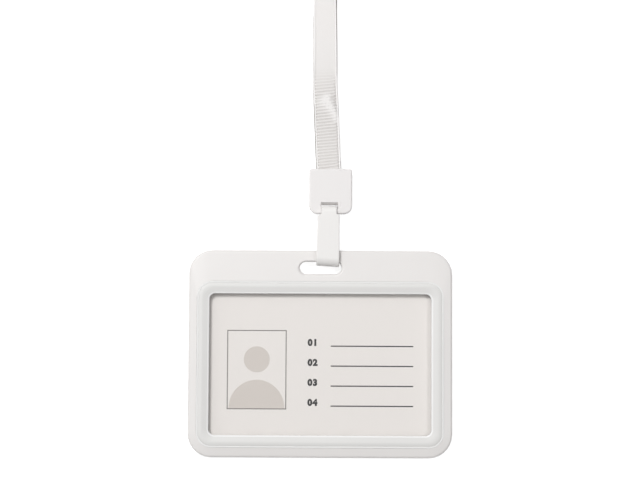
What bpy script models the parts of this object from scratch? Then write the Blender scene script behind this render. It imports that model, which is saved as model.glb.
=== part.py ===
"""Landscape card holder on a lanyard, lying flat on its back.

Metres. X runs along the holder, Y runs from the holder to the lanyard and
Z runs up from the table through the window. The origin is on the table, in
the middle of the holder, strap and connector together.
"""

import math

import bpy
from mathutils import Matrix, Vector

# Clearances and steps shared by every piece
GAP = 0.0003
JOIN_LAP = 0.0003
OVERRUN = 0.003
SMALL_CORNER = 0.0003
CORNER_STEPS = 7
ROUND_STEPS = 28
EDGE_SHARES = (0.0, 0.33, 0.67, 1.0)

# The card, of the size of a bank card
CARD_WIDTH = 0.0856
CARD_HEIGHT = 0.05398
CARD_THICKNESS = 0.00076
CARD_CORNER = 0.00318

# Window frame and the sheet behind it
WINDOW_LIP_X = 0.0023
WINDOW_LIP_Y = 0.00124
WINDOW_CORNER = 0.0022
BEZEL_WIDTH = 0.00425
BEZEL_CORNER = 0.0055
BEZEL_RISE = 0.0008
BEZEL_INNER_DROP = 0.00055
BEZEL_POCKET = 0.0008
BEZEL_OUTER_RADIUS = 0.0008
BEZEL_INNER_RADIUS = 0.0003
SPIGOT_WALL = 0.0012
SHEET_THICKNESS = 0.0008
SHEET_MARGIN = 0.0015
SHEET_CORNER = 0.002

# Front shell
SIDE_FLANGE = 0.00335
LOW_FLANGE = 0.0038
HANG_TAB = 0.0117
HOLDER_CORNER = 0.0087
FRONT_WALL = 0.0016
TAB_THICKNESS = 0.002
CROWN_DROP = 0.0005
RIM_RADIUS = 0.0009
TAB_BACK_RADIUS = 0.0006
SIDE_WALL = 0.0018
BAY_TOP_MARGIN = 0.0028
FOOT_CHAMFER = 0.0003
BOX_CORNER = 0.001
PARTING_STEP = 0.0001

# Hanging slot
SLOT_WIDTH = 0.0152
SLOT_HEIGHT = 0.0044
SLOT_BRIDGE = 0.0042
SLOT_RIM = 0.0009

# Rear cover, which slides out to the right with the card on it
COVER_THICKNESS = 0.0015
RAIL_LIP = 0.0012
RAIL_LIP_HEIGHT = 0.0006
END_CAP = 0.0038
TRAY_RIM = 0.0009
TRAY_RIM_HEIGHT = 0.0006
GRIP_WIDTH = 0.018
GRIP_HEIGHT = 0.014
GRIP_DEPTH = 0.0006
GRIP_FROM_END = 0.012
GRIP_GROOVES = 6
GRIP_GROOVE_WIDTH = 0.0014

# Strap that joins the holder to the connector
STRAP_WIDTH = 0.008
STRAP_THICKNESS = 0.0008
STRAP_REACH = 0.0133
STRAP_X = 0.00305
LOW_BEND_RADIUS = 0.0021
BRIDGE_PLAY = 0.00059
NECK_WIDTH = 0.0055
NECK_FRONT_LENGTH = 0.0006
NECK_BACK_LENGTH = 0.0026
NECK_TAPER = 0.001
TAIL_FROM_HOLDER = 0.0014
TAIL_LENGTH = 0.0103
TAIL_CORNER = 0.0026
INNER_END_FROM_HOLDER = 0.0018
BEND_STEPS = 12

# Snap that closes the strap
SNAP_FROM_HOLDER = 0.0067
SNAP_CAP_RADIUS = 0.0032
SNAP_CAP_THICKNESS = 0.0011
SNAP_CAP_EDGE = 0.0005
SNAP_POST_RADIUS = 0.0008
SNAP_POST_TIP = 0.0004
SNAP_TAIL_HOLE = 0.0011
SNAP_BAND_HOLE = 0.0014
SNAP_SOCKET_RADIUS = 0.0025
SNAP_SOCKET_BORE = 0.0014
SNAP_SOCKET_HEIGHT = 0.0009
SNAP_SOCKET_EDGE = 0.0002

# Connector between the strap and the webbing
CONNECTOR_X = 0.0035
CONNECTOR_WIDTH = 0.0158
CONNECTOR_HEIGHT = 0.0167
CONNECTOR_LOW_CORNER = 0.003
CONNECTOR_HIGH_CORNER = 0.001
CONNECTOR_FRAME = 0.0022
CONNECTOR_EDGE = 0.0006
CONNECTOR_STEP = 0.00515
CONNECTOR_DRAFT = 0.00015
CONNECTOR_WALL = 0.0008
BAR_HEIGHT = 0.0021
EYE_WIDTH = 0.0067
EYE_HEIGHT = 0.00241
EYE_CORNER = 0.0008
CAVITY_WIDTH = 0.011
CAVITY_FLOOR = 0.0018
TOOTH_HEIGHT = 0.0005
TOOTH_WIDTH = 0.0005
TOOTH_PITCH = 0.0011
TOOTH_COUNT = 2
TOOTH_FROM_MOUTH = 0.0009

# Webbing and the crimp on its ends
WEBBING_WIDTH = 0.0091
WEBBING_THICKNESS = 0.0008
WEBBING_SHIFT = 0.0002
CRIMP_WALL = 0.0003
CRIMP_LENGTH = 0.004
CRIMP_FROM_FLOOR = 0.002

# Routes of the two legs, chosen by hand: x, y, z and the roll in degrees
BACK_LEG_ROUTE = [
    (0.00330, 0.04350, 0.00301, 0.0),
    (0.00330, 0.04800, 0.00301, 0.0),
    (0.00325, 0.05300, 0.00298, 0.0),
    (0.00308, 0.05800, 0.00210, 0.0),
    (0.00282, 0.06400, 0.00098, 0.0),
    (0.00245, 0.07000, 0.00055, 0.0),
    (0.00212, 0.07700, 0.00056, 0.0),
    (0.00206, 0.08400, 0.00056, 0.0),
    (0.00202, 0.09150, 0.00058, 0.0),
    (0.00200, 0.09900, 0.00074, -3.0),
    (0.00197, 0.10700, 0.00148, -12.0),
    (0.00195, 0.11500, 0.00218, -22.0),
    (0.00195, 0.12300, 0.00295, -34.0),
    (0.00195, 0.13000, 0.00380, -48.0),
    (0.00195, 0.13700, 0.00450, -68.0),
    (0.00195, 0.14220, 0.00464, -90.0),
    (0.00283, 0.14811, 0.00462, -90.0),
    (0.00540, 0.15350, 0.00460, -90.0),
    (0.00944, 0.15790, 0.00458, -90.0),
    (0.01478, 0.16100, 0.00457, -90.0),
]
FRONT_LEG_ROUTE = [
    (0.00330, 0.04350, 0.00411, 0.0),
    (0.00330, 0.04800, 0.00411, 0.0),
    (0.00325, 0.05300, 0.00408, 0.0),
    (0.00308, 0.05800, 0.00335, 0.0),
    (0.00282, 0.06400, 0.00235, 0.0),
    (0.00245, 0.07000, 0.00198, 0.0),
    (0.00212, 0.07700, 0.00204, 0.0),
    (0.00204, 0.08400, 0.00204, 0.0),
    (0.00198, 0.09150, 0.00204, 0.0),
    (0.00194, 0.09900, 0.00214, -3.0),
    (0.00169, 0.10700, 0.00277, -12.0),
    (0.00144, 0.11500, 0.00344, -22.0),
    (0.00110, 0.12300, 0.00418, -34.0),
    (0.00062, 0.13000, 0.00480, -48.0),
    (-0.00050, 0.13700, 0.00512, -68.0),
    (-0.00140, 0.14220, 0.00470, -90.0),
    (-0.00037, 0.14909, 0.00464, -90.0),
    (0.00263, 0.15537, 0.00460, -90.0),
    (0.00733, 0.16050, 0.00458, -90.0),
    (0.01376, 0.16423, 0.00457, -90.0),
]
LEG_STEPS_PER_SPAN = 3

# Webbing put away on its edge, in turns that wind in and out again
COIL_CENTRE_X = 0.0
COIL_CENTRE_Y = 0.21
COIL_START_DEGREES = -72.9
COIL_INNER_RADIUS = 0.043
COIL_PITCH = 0.0034
COIL_OUTER_TURNS = 1.2
COIL_STEPS_PER_TURN = 24

# Places worked out from the sizes above
WINDOW_WIDTH = CARD_WIDTH - 2 * WINDOW_LIP_X
WINDOW_HEIGHT = CARD_HEIGHT - 2 * WINDOW_LIP_Y
HOLDER_WIDTH = WINDOW_WIDTH + 2 * (BEZEL_WIDTH + SIDE_FLANGE)
HOLDER_HEIGHT = LOW_FLANGE + 2 * BEZEL_WIDTH + WINDOW_HEIGHT + HANG_TAB
OBJECT_LENGTH = HOLDER_HEIGHT + STRAP_REACH + CONNECTOR_HEIGHT

HOLDER_RIGHT = HOLDER_WIDTH / 2
HOLDER_LOW = -OBJECT_LENGTH / 2
HOLDER_HIGH = HOLDER_LOW + HOLDER_HEIGHT
WINDOW_CENTRE_Y = HOLDER_LOW + LOW_FLANGE + BEZEL_WIDTH + WINDOW_HEIGHT / 2
BAY_LEFT = -HOLDER_RIGHT + SIDE_WALL
BAY_LOW = HOLDER_LOW + SIDE_WALL
BAY_HIGH = WINDOW_CENTRE_Y + CARD_HEIGHT / 2 + BAY_TOP_MARGIN
TAB_ROOT = BAY_HIGH + SIDE_WALL
END_CAP_LEFT = HOLDER_RIGHT - END_CAP
SLOT_HIGH = HOLDER_HIGH - SLOT_BRIDGE

CARD_LOW_Z = COVER_THICKNESS + GAP
SHEET_LOW_Z = CARD_LOW_Z + CARD_THICKNESS + GAP
SHELL_UNDER_Z = SHEET_LOW_Z + SHEET_THICKNESS + GAP
FACE_Z = SHELL_UNDER_Z + FRONT_WALL
TAB_UNDER_Z = FACE_Z - TAB_THICKNESS
POCKET_Z = FACE_Z - BEZEL_POCKET

LOW_BEND_Z = FACE_Z - TAB_THICKNESS / 2
LOW_BEND_Y = SLOT_HIGH - BRIDGE_PLAY + LOW_BEND_RADIUS
FRONT_LIMB_Z = LOW_BEND_Z + LOW_BEND_RADIUS + STRAP_THICKNESS / 2
TAIL_Z = LOW_BEND_Z - LOW_BEND_RADIUS - STRAP_THICKNESS / 2
INNER_LIMB_Z = TAIL_Z + STRAP_THICKNESS + GAP
HIGH_BEND_RADIUS = (FRONT_LIMB_Z - INNER_LIMB_Z - STRAP_THICKNESS) / 2
BAR_Z = (FRONT_LIMB_Z + INNER_LIMB_Z) / 2
CONNECTOR_LOW = HOLDER_HIGH + STRAP_REACH
CONNECTOR_HIGH = CONNECTOR_LOW + CONNECTOR_HEIGHT
BAR_Y = CONNECTOR_LOW + BAR_HEIGHT / 2
TAIL_LOW_Y = HOLDER_HIGH + TAIL_FROM_HOLDER
SNAP_Y = HOLDER_HIGH + SNAP_FROM_HOLDER

CRIMP_DEPTH = 2 * WEBBING_THICKNESS + 3 * GAP + 2 * CRIMP_WALL
CAVITY_DEPTH = CRIMP_DEPTH + 2 * GAP
CONNECTOR_FRONT_Z = BAR_Z + CONNECTOR_FRAME / 2
CONNECTOR_BACK_Z = CONNECTOR_FRONT_Z - CAVITY_DEPTH - 2 * CONNECTOR_WALL
STEP_Y = CONNECTOR_LOW + CONNECTOR_STEP
CAVITY_LOW_Y = STEP_Y + CAVITY_FLOOR
CAVITY_BACK_Z = CONNECTOR_BACK_Z + CONNECTOR_WALL
CAVITY_FRONT_Z = CONNECTOR_FRONT_Z - CONNECTOR_WALL


def material(name, red, green, blue, roughness, metallic=0.0, alpha=1.0):
    """A Principled material of one colour, given in linear shares."""
    made = bpy.data.materials.new(name)
    made.use_nodes = True
    shader = made.node_tree.nodes["Principled BSDF"]
    shader.inputs["Base Color"].default_value = (red, green, blue, 1)
    shader.inputs["Roughness"].default_value = roughness
    shader.inputs["Metallic"].default_value = metallic
    shader.inputs["Alpha"].default_value = alpha
    return made


def add_mesh(name, points, faces, finish):
    """A named object from points in world places."""
    mesh = bpy.data.meshes.new(name)
    mesh.from_pydata(points, [], faces)
    mesh.validate()
    mesh.shade_smooth()
    mesh.set_sharp_from_angle(angle=math.radians(35))
    if finish:
        mesh.materials.append(finish)
    piece = bpy.data.objects.new(name, mesh)
    bpy.context.scene.collection.objects.link(piece)
    return piece


def add_axis(name, place, carried):
    """An empty on a joint's axis, which carries the pieces that move about it."""
    axis = bpy.data.objects.new(name, None)
    axis.location = place
    axis.empty_display_size = STRAP_WIDTH
    bpy.context.scene.collection.objects.link(axis)
    for piece in carried:
        piece.parent = axis
        piece.matrix_parent_inverse = Matrix.Translation(-Vector(place))
    return axis


def box_outline(left, right, low, high, corners, inset=0.0):
    """Points of a box with round corners, counter-clockwise from low left.

    corners holds the radius of the low left, low right, high right and high
    left corner. inset draws the whole outline in by a distance.
    """
    low_left, low_right, high_right, high_left = corners
    arcs = [
        (left + low_left, low + low_left, low_left, 180),
        (right - low_right, low + low_right, low_right, 270),
        (right - high_right, high - high_right, high_right, 0),
        (left + high_left, high - high_left, high_left, 90),
    ]
    points = []
    for centre_x, centre_y, radius, start in arcs:
        for step in range(CORNER_STEPS + 1):
            angle = math.radians(start + 90 * step / CORNER_STEPS)
            reach = radius - inset
            points.append((centre_x + reach * math.cos(angle), centre_y + reach * math.sin(angle)))
    return points


def circle_outline(centre_x, centre_y, radius):
    """Points of a circle, counter-clockwise."""
    turn = 2 * math.pi / ROUND_STEPS
    return [
        (centre_x + radius * math.cos(turn * step), centre_y + radius * math.sin(turn * step))
        for step in range(ROUND_STEPS)
    ]


def loft(name, rings, finish, closed=False):
    """A solid through outlines at given heights, bottom first.

    rings holds pairs of an outline and its height. A closed loft runs from
    the last ring back to the first, which leaves a hole through the middle.
    """
    count = len(rings[0][0])
    points = [(x, y, z) for outline, z in rings for x, y in outline]
    faces = []
    for level in range(len(rings) if closed else len(rings) - 1):
        base = level * count
        above = ((level + 1) % len(rings)) * count
        for step in range(count):
            after = (step + 1) % count
            faces.append((base + step, base + after, above + after, above + step))
    if not closed:
        faces.append(tuple(reversed(range(count))))
        faces.append(tuple(range((len(rings) - 1) * count, len(rings) * count)))
    return add_mesh(name, points, faces, finish)


def ribbon(name, stations, thickness, finish):
    """A flat strap through stations: place, width direction, face normal, half width."""
    points = []
    for place, across, normal, half_width in stations:
        side = across * half_width
        rise = normal * (thickness / 2)
        points += [place - side - rise, place + side - rise, place + side + rise, place - side + rise]
    faces = [(3, 2, 1, 0)]
    for level in range(len(stations) - 1):
        base = level * 4
        for step in range(4):
            after = (step + 1) % 4
            faces.append((base + step, base + after, base + 4 + after, base + 4 + step))
    last = (len(stations) - 1) * 4
    faces.append((last, last + 1, last + 2, last + 3))
    return add_mesh(name, points, faces, finish)


def use_tool(piece, tool, operation):
    """Cut a guide solid out of a piece or join it on, and keep the guide out of sight."""
    tool.hide_render = True
    tool.display_type = "WIRE"
    tool.parent = piece
    step = piece.modifiers.new(operation.lower() + "_" + tool.name, "BOOLEAN")
    step.operation = operation
    step.solver = "EXACT"
    step.object = tool


def cut(piece, name, rings):
    use_tool(piece, loft(name, rings, None), "DIFFERENCE")


def join(piece, name, rings):
    use_tool(piece, loft(name, rings, None), "UNION")


def plain_box(left, right, low, high):
    """A box outline with square corners."""
    return [(left, low), (right, low), (right, high), (left, high)]


def edge_rings(outline_at, bottom, top, radius, low_radius=0.0):
    """Rings of a slab whose edges are rounded, from its bottom to its top.

    outline_at gives the outline drawn in by a distance.
    """
    rings = []
    if low_radius:
        for share in (0.0, 0.5, 1.0):
            angle = math.radians(90 * share)
            rings.append(
                (
                    outline_at(low_radius * (1 - math.sin(angle))),
                    bottom + low_radius * (1 - math.cos(angle)),
                )
            )
    else:
        rings.append((outline_at(0.0), bottom))
    for share in EDGE_SHARES:
        angle = math.radians(90 * share)
        rings.append(
            (outline_at(radius * (1 - math.cos(angle))), top - radius * (1 - math.sin(angle)))
        )
    return rings


def slot_rings(left, right, low, high, corner, bottom, top, rim):
    """A cutter for a slot whose mouth flares at both faces."""
    corners = (corner,) * 4
    rings = [(box_outline(left, right, low, high, corners, -rim), bottom - OVERRUN)]
    for share in EDGE_SHARES:
        angle = math.radians(90 * share)
        flare = rim * (1 - math.sin(angle))
        rings.append(
            (box_outline(left, right, low, high, corners, -flare), bottom + rim * (1 - math.cos(angle)))
        )
    for share in EDGE_SHARES:
        angle = math.radians(90 * share)
        flare = rim * (1 - math.cos(angle))
        rings.append(
            (box_outline(left, right, low, high, corners, -flare), top - rim * (1 - math.sin(angle)))
        )
    rings.append((box_outline(left, right, low, high, corners, -rim), top + OVERRUN))
    return rings


def holder_outline(inset=0.0):
    """The outside of the holder seen from the front."""
    return box_outline(
        -HOLDER_RIGHT, HOLDER_RIGHT, HOLDER_LOW, HOLDER_HIGH, (HOLDER_CORNER,) * 4, inset
    )


def window_outline(margin, corner):
    """An outline that stands a margin outside the window."""
    return box_outline(
        -WINDOW_WIDTH / 2 - margin,
        WINDOW_WIDTH / 2 + margin,
        WINDOW_CENTRE_Y - WINDOW_HEIGHT / 2 - margin,
        WINDOW_CENTRE_Y + WINDOW_HEIGHT / 2 + margin,
        (corner,) * 4,
    )


def make_front_shell(finish):
    """Front moulding: crowned face, hanging tab with its slot, and the card bay behind."""
    crown_edge = FACE_Z - CROWN_DROP
    rings = edge_rings(holder_outline, TAB_UNDER_Z, crown_edge, RIM_RADIUS, TAB_BACK_RADIUS)
    rings.append((window_outline(BEZEL_WIDTH + GAP, BEZEL_CORNER + GAP), FACE_Z))
    shell = loft("front_shell", rings, finish)

    def box(inset):
        return box_outline(
            -HOLDER_RIGHT,
            HOLDER_RIGHT,
            HOLDER_LOW,
            TAB_ROOT + PARTING_STEP,
            (HOLDER_CORNER, HOLDER_CORNER, BOX_CORNER, BOX_CORNER),
            inset + PARTING_STEP,
        )

    join(
        shell,
        "card_box",
        [(box(FOOT_CHAMFER), 0.0), (box(0.0), FOOT_CHAMFER), (box(0.0), POCKET_Z - JOIN_LAP)],
    )

    inner_corner = HOLDER_CORNER - SIDE_WALL
    beyond = HOLDER_RIGHT + OVERRUN
    bay = box_outline(
        BAY_LEFT, beyond, BAY_LOW, BAY_HIGH, (inner_corner, SMALL_CORNER, SMALL_CORNER, inner_corner)
    )
    cut(shell, "bay_space", [(bay, RAIL_LIP_HEIGHT), (bay, SHELL_UNDER_Z)])
    mouth = box_outline(
        BAY_LEFT,
        beyond,
        BAY_LOW + RAIL_LIP,
        BAY_HIGH - RAIL_LIP,
        (inner_corner - RAIL_LIP, SMALL_CORNER, SMALL_CORNER, inner_corner - RAIL_LIP),
    )
    cut(shell, "rail_mouth", [(mouth, -OVERRUN), (mouth, RAIL_LIP_HEIGHT + JOIN_LAP)])
    end = plain_box(END_CAP_LEFT - GAP, beyond, HOLDER_LOW - OVERRUN, TAB_ROOT + GAP)
    cut(shell, "end_space", [(end, -OVERRUN), (end, SHELL_UNDER_Z)])

    pocket = window_outline(BEZEL_WIDTH + GAP, BEZEL_CORNER + GAP)
    cut(shell, "bezel_pocket", [(pocket, POCKET_Z), (pocket, FACE_Z + OVERRUN)])
    opening = window_outline(SPIGOT_WALL + GAP, WINDOW_CORNER + SPIGOT_WALL + GAP)
    cut(shell, "shell_opening", [(opening, SHELL_UNDER_Z - OVERRUN), (opening, FACE_Z)])
    cut(
        shell,
        "hanging_slot",
        slot_rings(
            -SLOT_WIDTH / 2,
            SLOT_WIDTH / 2,
            SLOT_HIGH - SLOT_HEIGHT,
            SLOT_HIGH,
            SLOT_HEIGHT / 2,
            TAB_UNDER_Z,
            FACE_Z - CROWN_DROP / 2,
            SLOT_RIM,
        ),
    )
    return shell


def make_window_bezel(finish):
    """Raised frame round the window; its face slopes down towards the card."""
    top = FACE_Z + BEZEL_RISE
    inner_top = top - BEZEL_INNER_DROP
    spigot_corner = WINDOW_CORNER + SPIGOT_WALL
    rings = [
        (window_outline(0.0, WINDOW_CORNER), SHELL_UNDER_Z),
        (window_outline(0.0, WINDOW_CORNER), inner_top - BEZEL_INNER_RADIUS),
        (window_outline(BEZEL_INNER_RADIUS, WINDOW_CORNER + BEZEL_INNER_RADIUS), inner_top),
    ]
    for share in EDGE_SHARES:
        angle = math.radians(90 * share)
        inset = BEZEL_OUTER_RADIUS * (1 - math.sin(angle))
        drop = BEZEL_OUTER_RADIUS * (1 - math.cos(angle))
        rings.append((window_outline(BEZEL_WIDTH - inset, BEZEL_CORNER - inset), top - drop))
    rings += [
        (window_outline(BEZEL_WIDTH, BEZEL_CORNER), POCKET_Z + GAP),
        (window_outline(SPIGOT_WALL, spigot_corner), POCKET_Z + GAP),
        (window_outline(SPIGOT_WALL, spigot_corner), SHELL_UNDER_Z),
    ]
    return loft("window_bezel", list(reversed(rings)), finish, closed=True)


def make_clear_window(finish):
    """Clear sheet under the front wall."""
    margin = SPIGOT_WALL + GAP + SHEET_MARGIN
    outline = window_outline(margin, SHEET_CORNER)
    return loft(
        "clear_window", [(outline, SHEET_LOW_Z), (outline, SHEET_LOW_Z + SHEET_THICKNESS)], finish
    )


def card_outline(margin):
    """An outline that stands a margin outside the card."""
    return box_outline(
        -CARD_WIDTH / 2 - margin,
        CARD_WIDTH / 2 + margin,
        WINDOW_CENTRE_Y - CARD_HEIGHT / 2 - margin,
        WINDOW_CENTRE_Y + CARD_HEIGHT / 2 + margin,
        (CARD_CORNER + margin,) * 4,
    )


def make_insert_card(finish):
    """The card, on the rear cover."""
    outline = card_outline(0.0)
    return loft("insert_card", [(outline, CARD_LOW_Z), (outline, CARD_LOW_Z + CARD_THICKNESS)], finish)


def make_rear_cover(finish):
    """Sliding back: tongues in the rails, a rim round the card, an end cap and a thumb grip."""
    tongue_z = RAIL_LIP_HEIGHT + GAP
    corner = HOLDER_CORNER - SIDE_WALL - GAP
    plate = box_outline(
        BAY_LEFT + GAP,
        END_CAP_LEFT + JOIN_LAP,
        BAY_LOW + GAP,
        BAY_HIGH - GAP,
        (corner, SMALL_CORNER, SMALL_CORNER, corner),
    )
    cover = loft("rear_cover", [(plate, tongue_z), (plate, COVER_THICKNESS)], finish)

    back_corner = corner - RAIL_LIP
    back = box_outline(
        BAY_LEFT + GAP,
        END_CAP_LEFT + 2 * JOIN_LAP,
        BAY_LOW + RAIL_LIP + GAP,
        BAY_HIGH - RAIL_LIP - GAP,
        (back_corner, SMALL_CORNER, SMALL_CORNER, back_corner),
    )
    join(cover, "cover_back", [(back, 0.0), (back, tongue_z + JOIN_LAP)])

    arc_x = HOLDER_RIGHT - HOLDER_CORNER
    arc_y = HOLDER_LOW + HOLDER_CORNER
    reach = HOLDER_CORNER - PARTING_STEP
    start = math.acos((END_CAP_LEFT - arc_x) / reach)
    cap = []
    for step in range(CORNER_STEPS + 1):
        angle = -start * (1 - step / CORNER_STEPS)
        cap.append((arc_x + reach * math.cos(angle), arc_y + reach * math.sin(angle)))
    cap += [(HOLDER_RIGHT - PARTING_STEP, TAB_ROOT), (END_CAP_LEFT, TAB_ROOT)]
    join(cover, "end_cap", [(cap, 0.0), (cap, SHELL_UNDER_Z - GAP)])

    outer = card_outline(GAP + TRAY_RIM)
    inner = card_outline(GAP)
    top = COVER_THICKNESS + TRAY_RIM_HEIGHT
    sunk = COVER_THICKNESS - JOIN_LAP
    rim = loft(
        "tray_rim", [(outer, top), (inner, top), (inner, sunk), (outer, sunk)][::-1], None, closed=True
    )
    use_tool(cover, rim, "UNION")

    grip_right = END_CAP_LEFT - GRIP_FROM_END
    pitch = GRIP_WIDTH / (GRIP_GROOVES - 1)
    for number in range(GRIP_GROOVES):
        centre = grip_right - pitch * number
        groove = box_outline(
            centre - GRIP_GROOVE_WIDTH / 2,
            centre + GRIP_GROOVE_WIDTH / 2,
            WINDOW_CENTRE_Y - GRIP_HEIGHT / 2,
            WINDOW_CENTRE_Y + GRIP_HEIGHT / 2,
            (GRIP_GROOVE_WIDTH / 2,) * 4,
        )
        cut(cover, "thumb_groove_" + str(number + 1), [(groove, -OVERRUN), (groove, GRIP_DEPTH)])
    return cover


def bend(centre_y, centre_z, radius, start, sweep):
    """Places and outward normals round a bend about an X axis, angles from +Y towards +Z."""
    stations = []
    for step in range(BEND_STEPS + 1):
        angle = math.radians(start + sweep * step / BEND_STEPS)
        normal = Vector((0, math.cos(angle), math.sin(angle)))
        place = Vector((STRAP_X, centre_y, centre_z)) + normal * radius
        stations.append((place, normal))
    return stations


def make_strap_band(finish):
    """Strap loop: over the connector's bar, down the front, through the slot and up the back."""
    across = Vector((1, 0, 0))
    wide = STRAP_WIDTH / 2
    neck = NECK_WIDTH / 2
    up = Vector((0, 0, 1))
    down = -up
    middle = STRAP_THICKNESS / 2
    inner_end = HOLDER_HIGH + INNER_END_FROM_HOLDER

    stations = [
        (Vector((STRAP_X, inner_end, INNER_LIMB_Z)), down, wide),
        (Vector((STRAP_X, BAR_Y - NECK_BACK_LENGTH - NECK_TAPER, INNER_LIMB_Z)), down, wide),
        (Vector((STRAP_X, BAR_Y - NECK_BACK_LENGTH, INNER_LIMB_Z)), down, neck),
    ]
    for place, normal in bend(BAR_Y, BAR_Z, HIGH_BEND_RADIUS + middle, -90, 180):
        stations.append((place, normal, neck))
    stations += [
        (Vector((STRAP_X, BAR_Y - NECK_FRONT_LENGTH, FRONT_LIMB_Z)), up, neck),
        (Vector((STRAP_X, BAR_Y - NECK_FRONT_LENGTH - NECK_TAPER, FRONT_LIMB_Z)), up, wide),
    ]
    for place, normal in bend(LOW_BEND_Y, LOW_BEND_Z, LOW_BEND_RADIUS + middle, 90, 180):
        stations.append((place, normal, wide))
    stations.append((Vector((STRAP_X, TAIL_LOW_Y - GAP / 2, TAIL_Z)), down, wide))

    band = ribbon(
        "strap_band",
        [(place, across, normal, half) for place, normal, half in stations],
        STRAP_THICKNESS,
        finish,
    )
    hole = circle_outline(STRAP_X, SNAP_Y, SNAP_BAND_HOLE)
    low = INNER_LIMB_Z - STRAP_THICKNESS
    cut(band, "band_snap_hole", [(hole, low), (hole, low + 2 * STRAP_THICKNESS)])
    return band


def make_strap_tail(finish):
    """Free end of the strap, which carries the snap cap and peels off the band."""
    low = TAIL_Z - STRAP_THICKNESS / 2
    high = TAIL_Z + STRAP_THICKNESS / 2
    outline = box_outline(
        STRAP_X - STRAP_WIDTH / 2,
        STRAP_X + STRAP_WIDTH / 2,
        TAIL_LOW_Y + GAP / 2,
        TAIL_LOW_Y + TAIL_LENGTH,
        (SMALL_CORNER, SMALL_CORNER, TAIL_CORNER, TAIL_CORNER),
    )
    tail = loft("strap_tail", [(outline, low), (outline, high)], finish)
    hole = circle_outline(STRAP_X, SNAP_Y, SNAP_TAIL_HOLE)
    cut(tail, "tail_snap_hole", [(hole, low - OVERRUN), (hole, high + OVERRUN)])
    return tail


def make_snap(finish):
    """Snap: a low domed cap with its post, and the socket ring on the band."""
    cap_top = TAIL_Z - STRAP_THICKNESS / 2 - GAP
    cap_low = cap_top - SNAP_CAP_THICKNESS
    socket_low = INNER_LIMB_Z + STRAP_THICKNESS / 2 + GAP
    socket_high = socket_low + SNAP_SOCKET_HEIGHT

    def ring(radius, height):
        return circle_outline(STRAP_X, SNAP_Y, radius), height

    cap = loft(
        "snap_cap",
        [
            ring(SNAP_CAP_RADIUS - 2 * SNAP_CAP_EDGE, cap_low),
            ring(SNAP_CAP_RADIUS - SNAP_CAP_EDGE, cap_low + SNAP_CAP_EDGE / 4),
            ring(SNAP_CAP_RADIUS, cap_low + SNAP_CAP_EDGE),
            ring(SNAP_CAP_RADIUS, cap_top),
            ring(SNAP_POST_RADIUS, cap_top),
            ring(SNAP_POST_RADIUS, socket_high - SNAP_POST_TIP),
            ring(SNAP_POST_RADIUS - SNAP_POST_TIP, socket_high),
        ],
        finish,
    )
    edge = SNAP_SOCKET_EDGE
    socket = loft(
        "snap_socket",
        [
            ring(SNAP_SOCKET_BORE, socket_low),
            ring(SNAP_SOCKET_RADIUS, socket_low),
            ring(SNAP_SOCKET_RADIUS, socket_high - edge),
            ring(SNAP_SOCKET_RADIUS - edge, socket_high),
            ring(SNAP_SOCKET_BORE + edge, socket_high),
            ring(SNAP_SOCKET_BORE, socket_high - edge),
        ],
        finish,
        closed=True,
    )
    return cap, socket


def make_connector(finish):
    """Connector: a front moulding with the strap's bar, and the cover that closes its back."""
    left = CONNECTOR_X - CONNECTOR_WIDTH / 2
    right = CONNECTOR_X + CONNECTOR_WIDTH / 2
    corners = (
        CONNECTOR_LOW_CORNER,
        CONNECTOR_LOW_CORNER,
        CONNECTOR_HIGH_CORNER,
        CONNECTOR_HIGH_CORNER,
    )

    def plate(inset):
        return box_outline(left, right, CONNECTOR_LOW, CONNECTOR_HIGH, corners, inset)

    back_z = CONNECTOR_FRONT_Z - CONNECTOR_FRAME
    front = loft(
        "connector_front",
        edge_rings(plate, back_z, CONNECTOR_FRONT_Z, CONNECTOR_EDGE, CONNECTOR_EDGE),
        finish,
    )

    def body(inset):
        return box_outline(
            left, right, STEP_Y, CONNECTOR_HIGH, (CONNECTOR_HIGH_CORNER,) * 4, inset + CONNECTOR_DRAFT
        )

    join(
        front,
        "connector_body",
        [
            (body(CONNECTOR_EDGE), CONNECTOR_BACK_Z),
            (body(CONNECTOR_DRAFT), CONNECTOR_BACK_Z + CONNECTOR_EDGE),
            (body(0.0), CONNECTOR_FRONT_Z - CONNECTOR_FRAME / 2),
        ],
    )
    cavity_left = CONNECTOR_X - CAVITY_WIDTH / 2
    cavity_right = CONNECTOR_X + CAVITY_WIDTH / 2
    space = plain_box(cavity_left, cavity_right, CAVITY_LOW_Y, CONNECTOR_HIGH + OVERRUN)
    cut(front, "webbing_cavity", [(space, CONNECTOR_BACK_Z - OVERRUN), (space, CAVITY_FRONT_Z)])
    cut(
        front,
        "strap_eye",
        slot_rings(
            CONNECTOR_X - EYE_WIDTH / 2,
            CONNECTOR_X + EYE_WIDTH / 2,
            CONNECTOR_LOW + BAR_HEIGHT,
            CONNECTOR_LOW + BAR_HEIGHT + EYE_HEIGHT,
            EYE_CORNER,
            back_z,
            CONNECTOR_FRONT_Z,
            CONNECTOR_EDGE,
        ),
    )

    lid = plain_box(
        cavity_left + GAP, cavity_right - GAP, CAVITY_LOW_Y + GAP, CONNECTOR_HIGH - CONNECTOR_DRAFT
    )
    back = loft("connector_back", [(lid, CONNECTOR_BACK_Z), (lid, CAVITY_BACK_Z)], finish)
    for number in range(TOOTH_COUNT):
        high = CONNECTOR_HIGH - TOOTH_FROM_MOUTH - TOOTH_PITCH * number
        tooth = plain_box(cavity_left + 2 * GAP, cavity_right - 2 * GAP, high - TOOTH_WIDTH, high)
        join(
            back,
            "grip_tooth_" + str(number + 1),
            [(tooth, CAVITY_BACK_Z - JOIN_LAP), (tooth, CAVITY_BACK_Z + TOOTH_HEIGHT)],
        )
    return front, back


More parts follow.
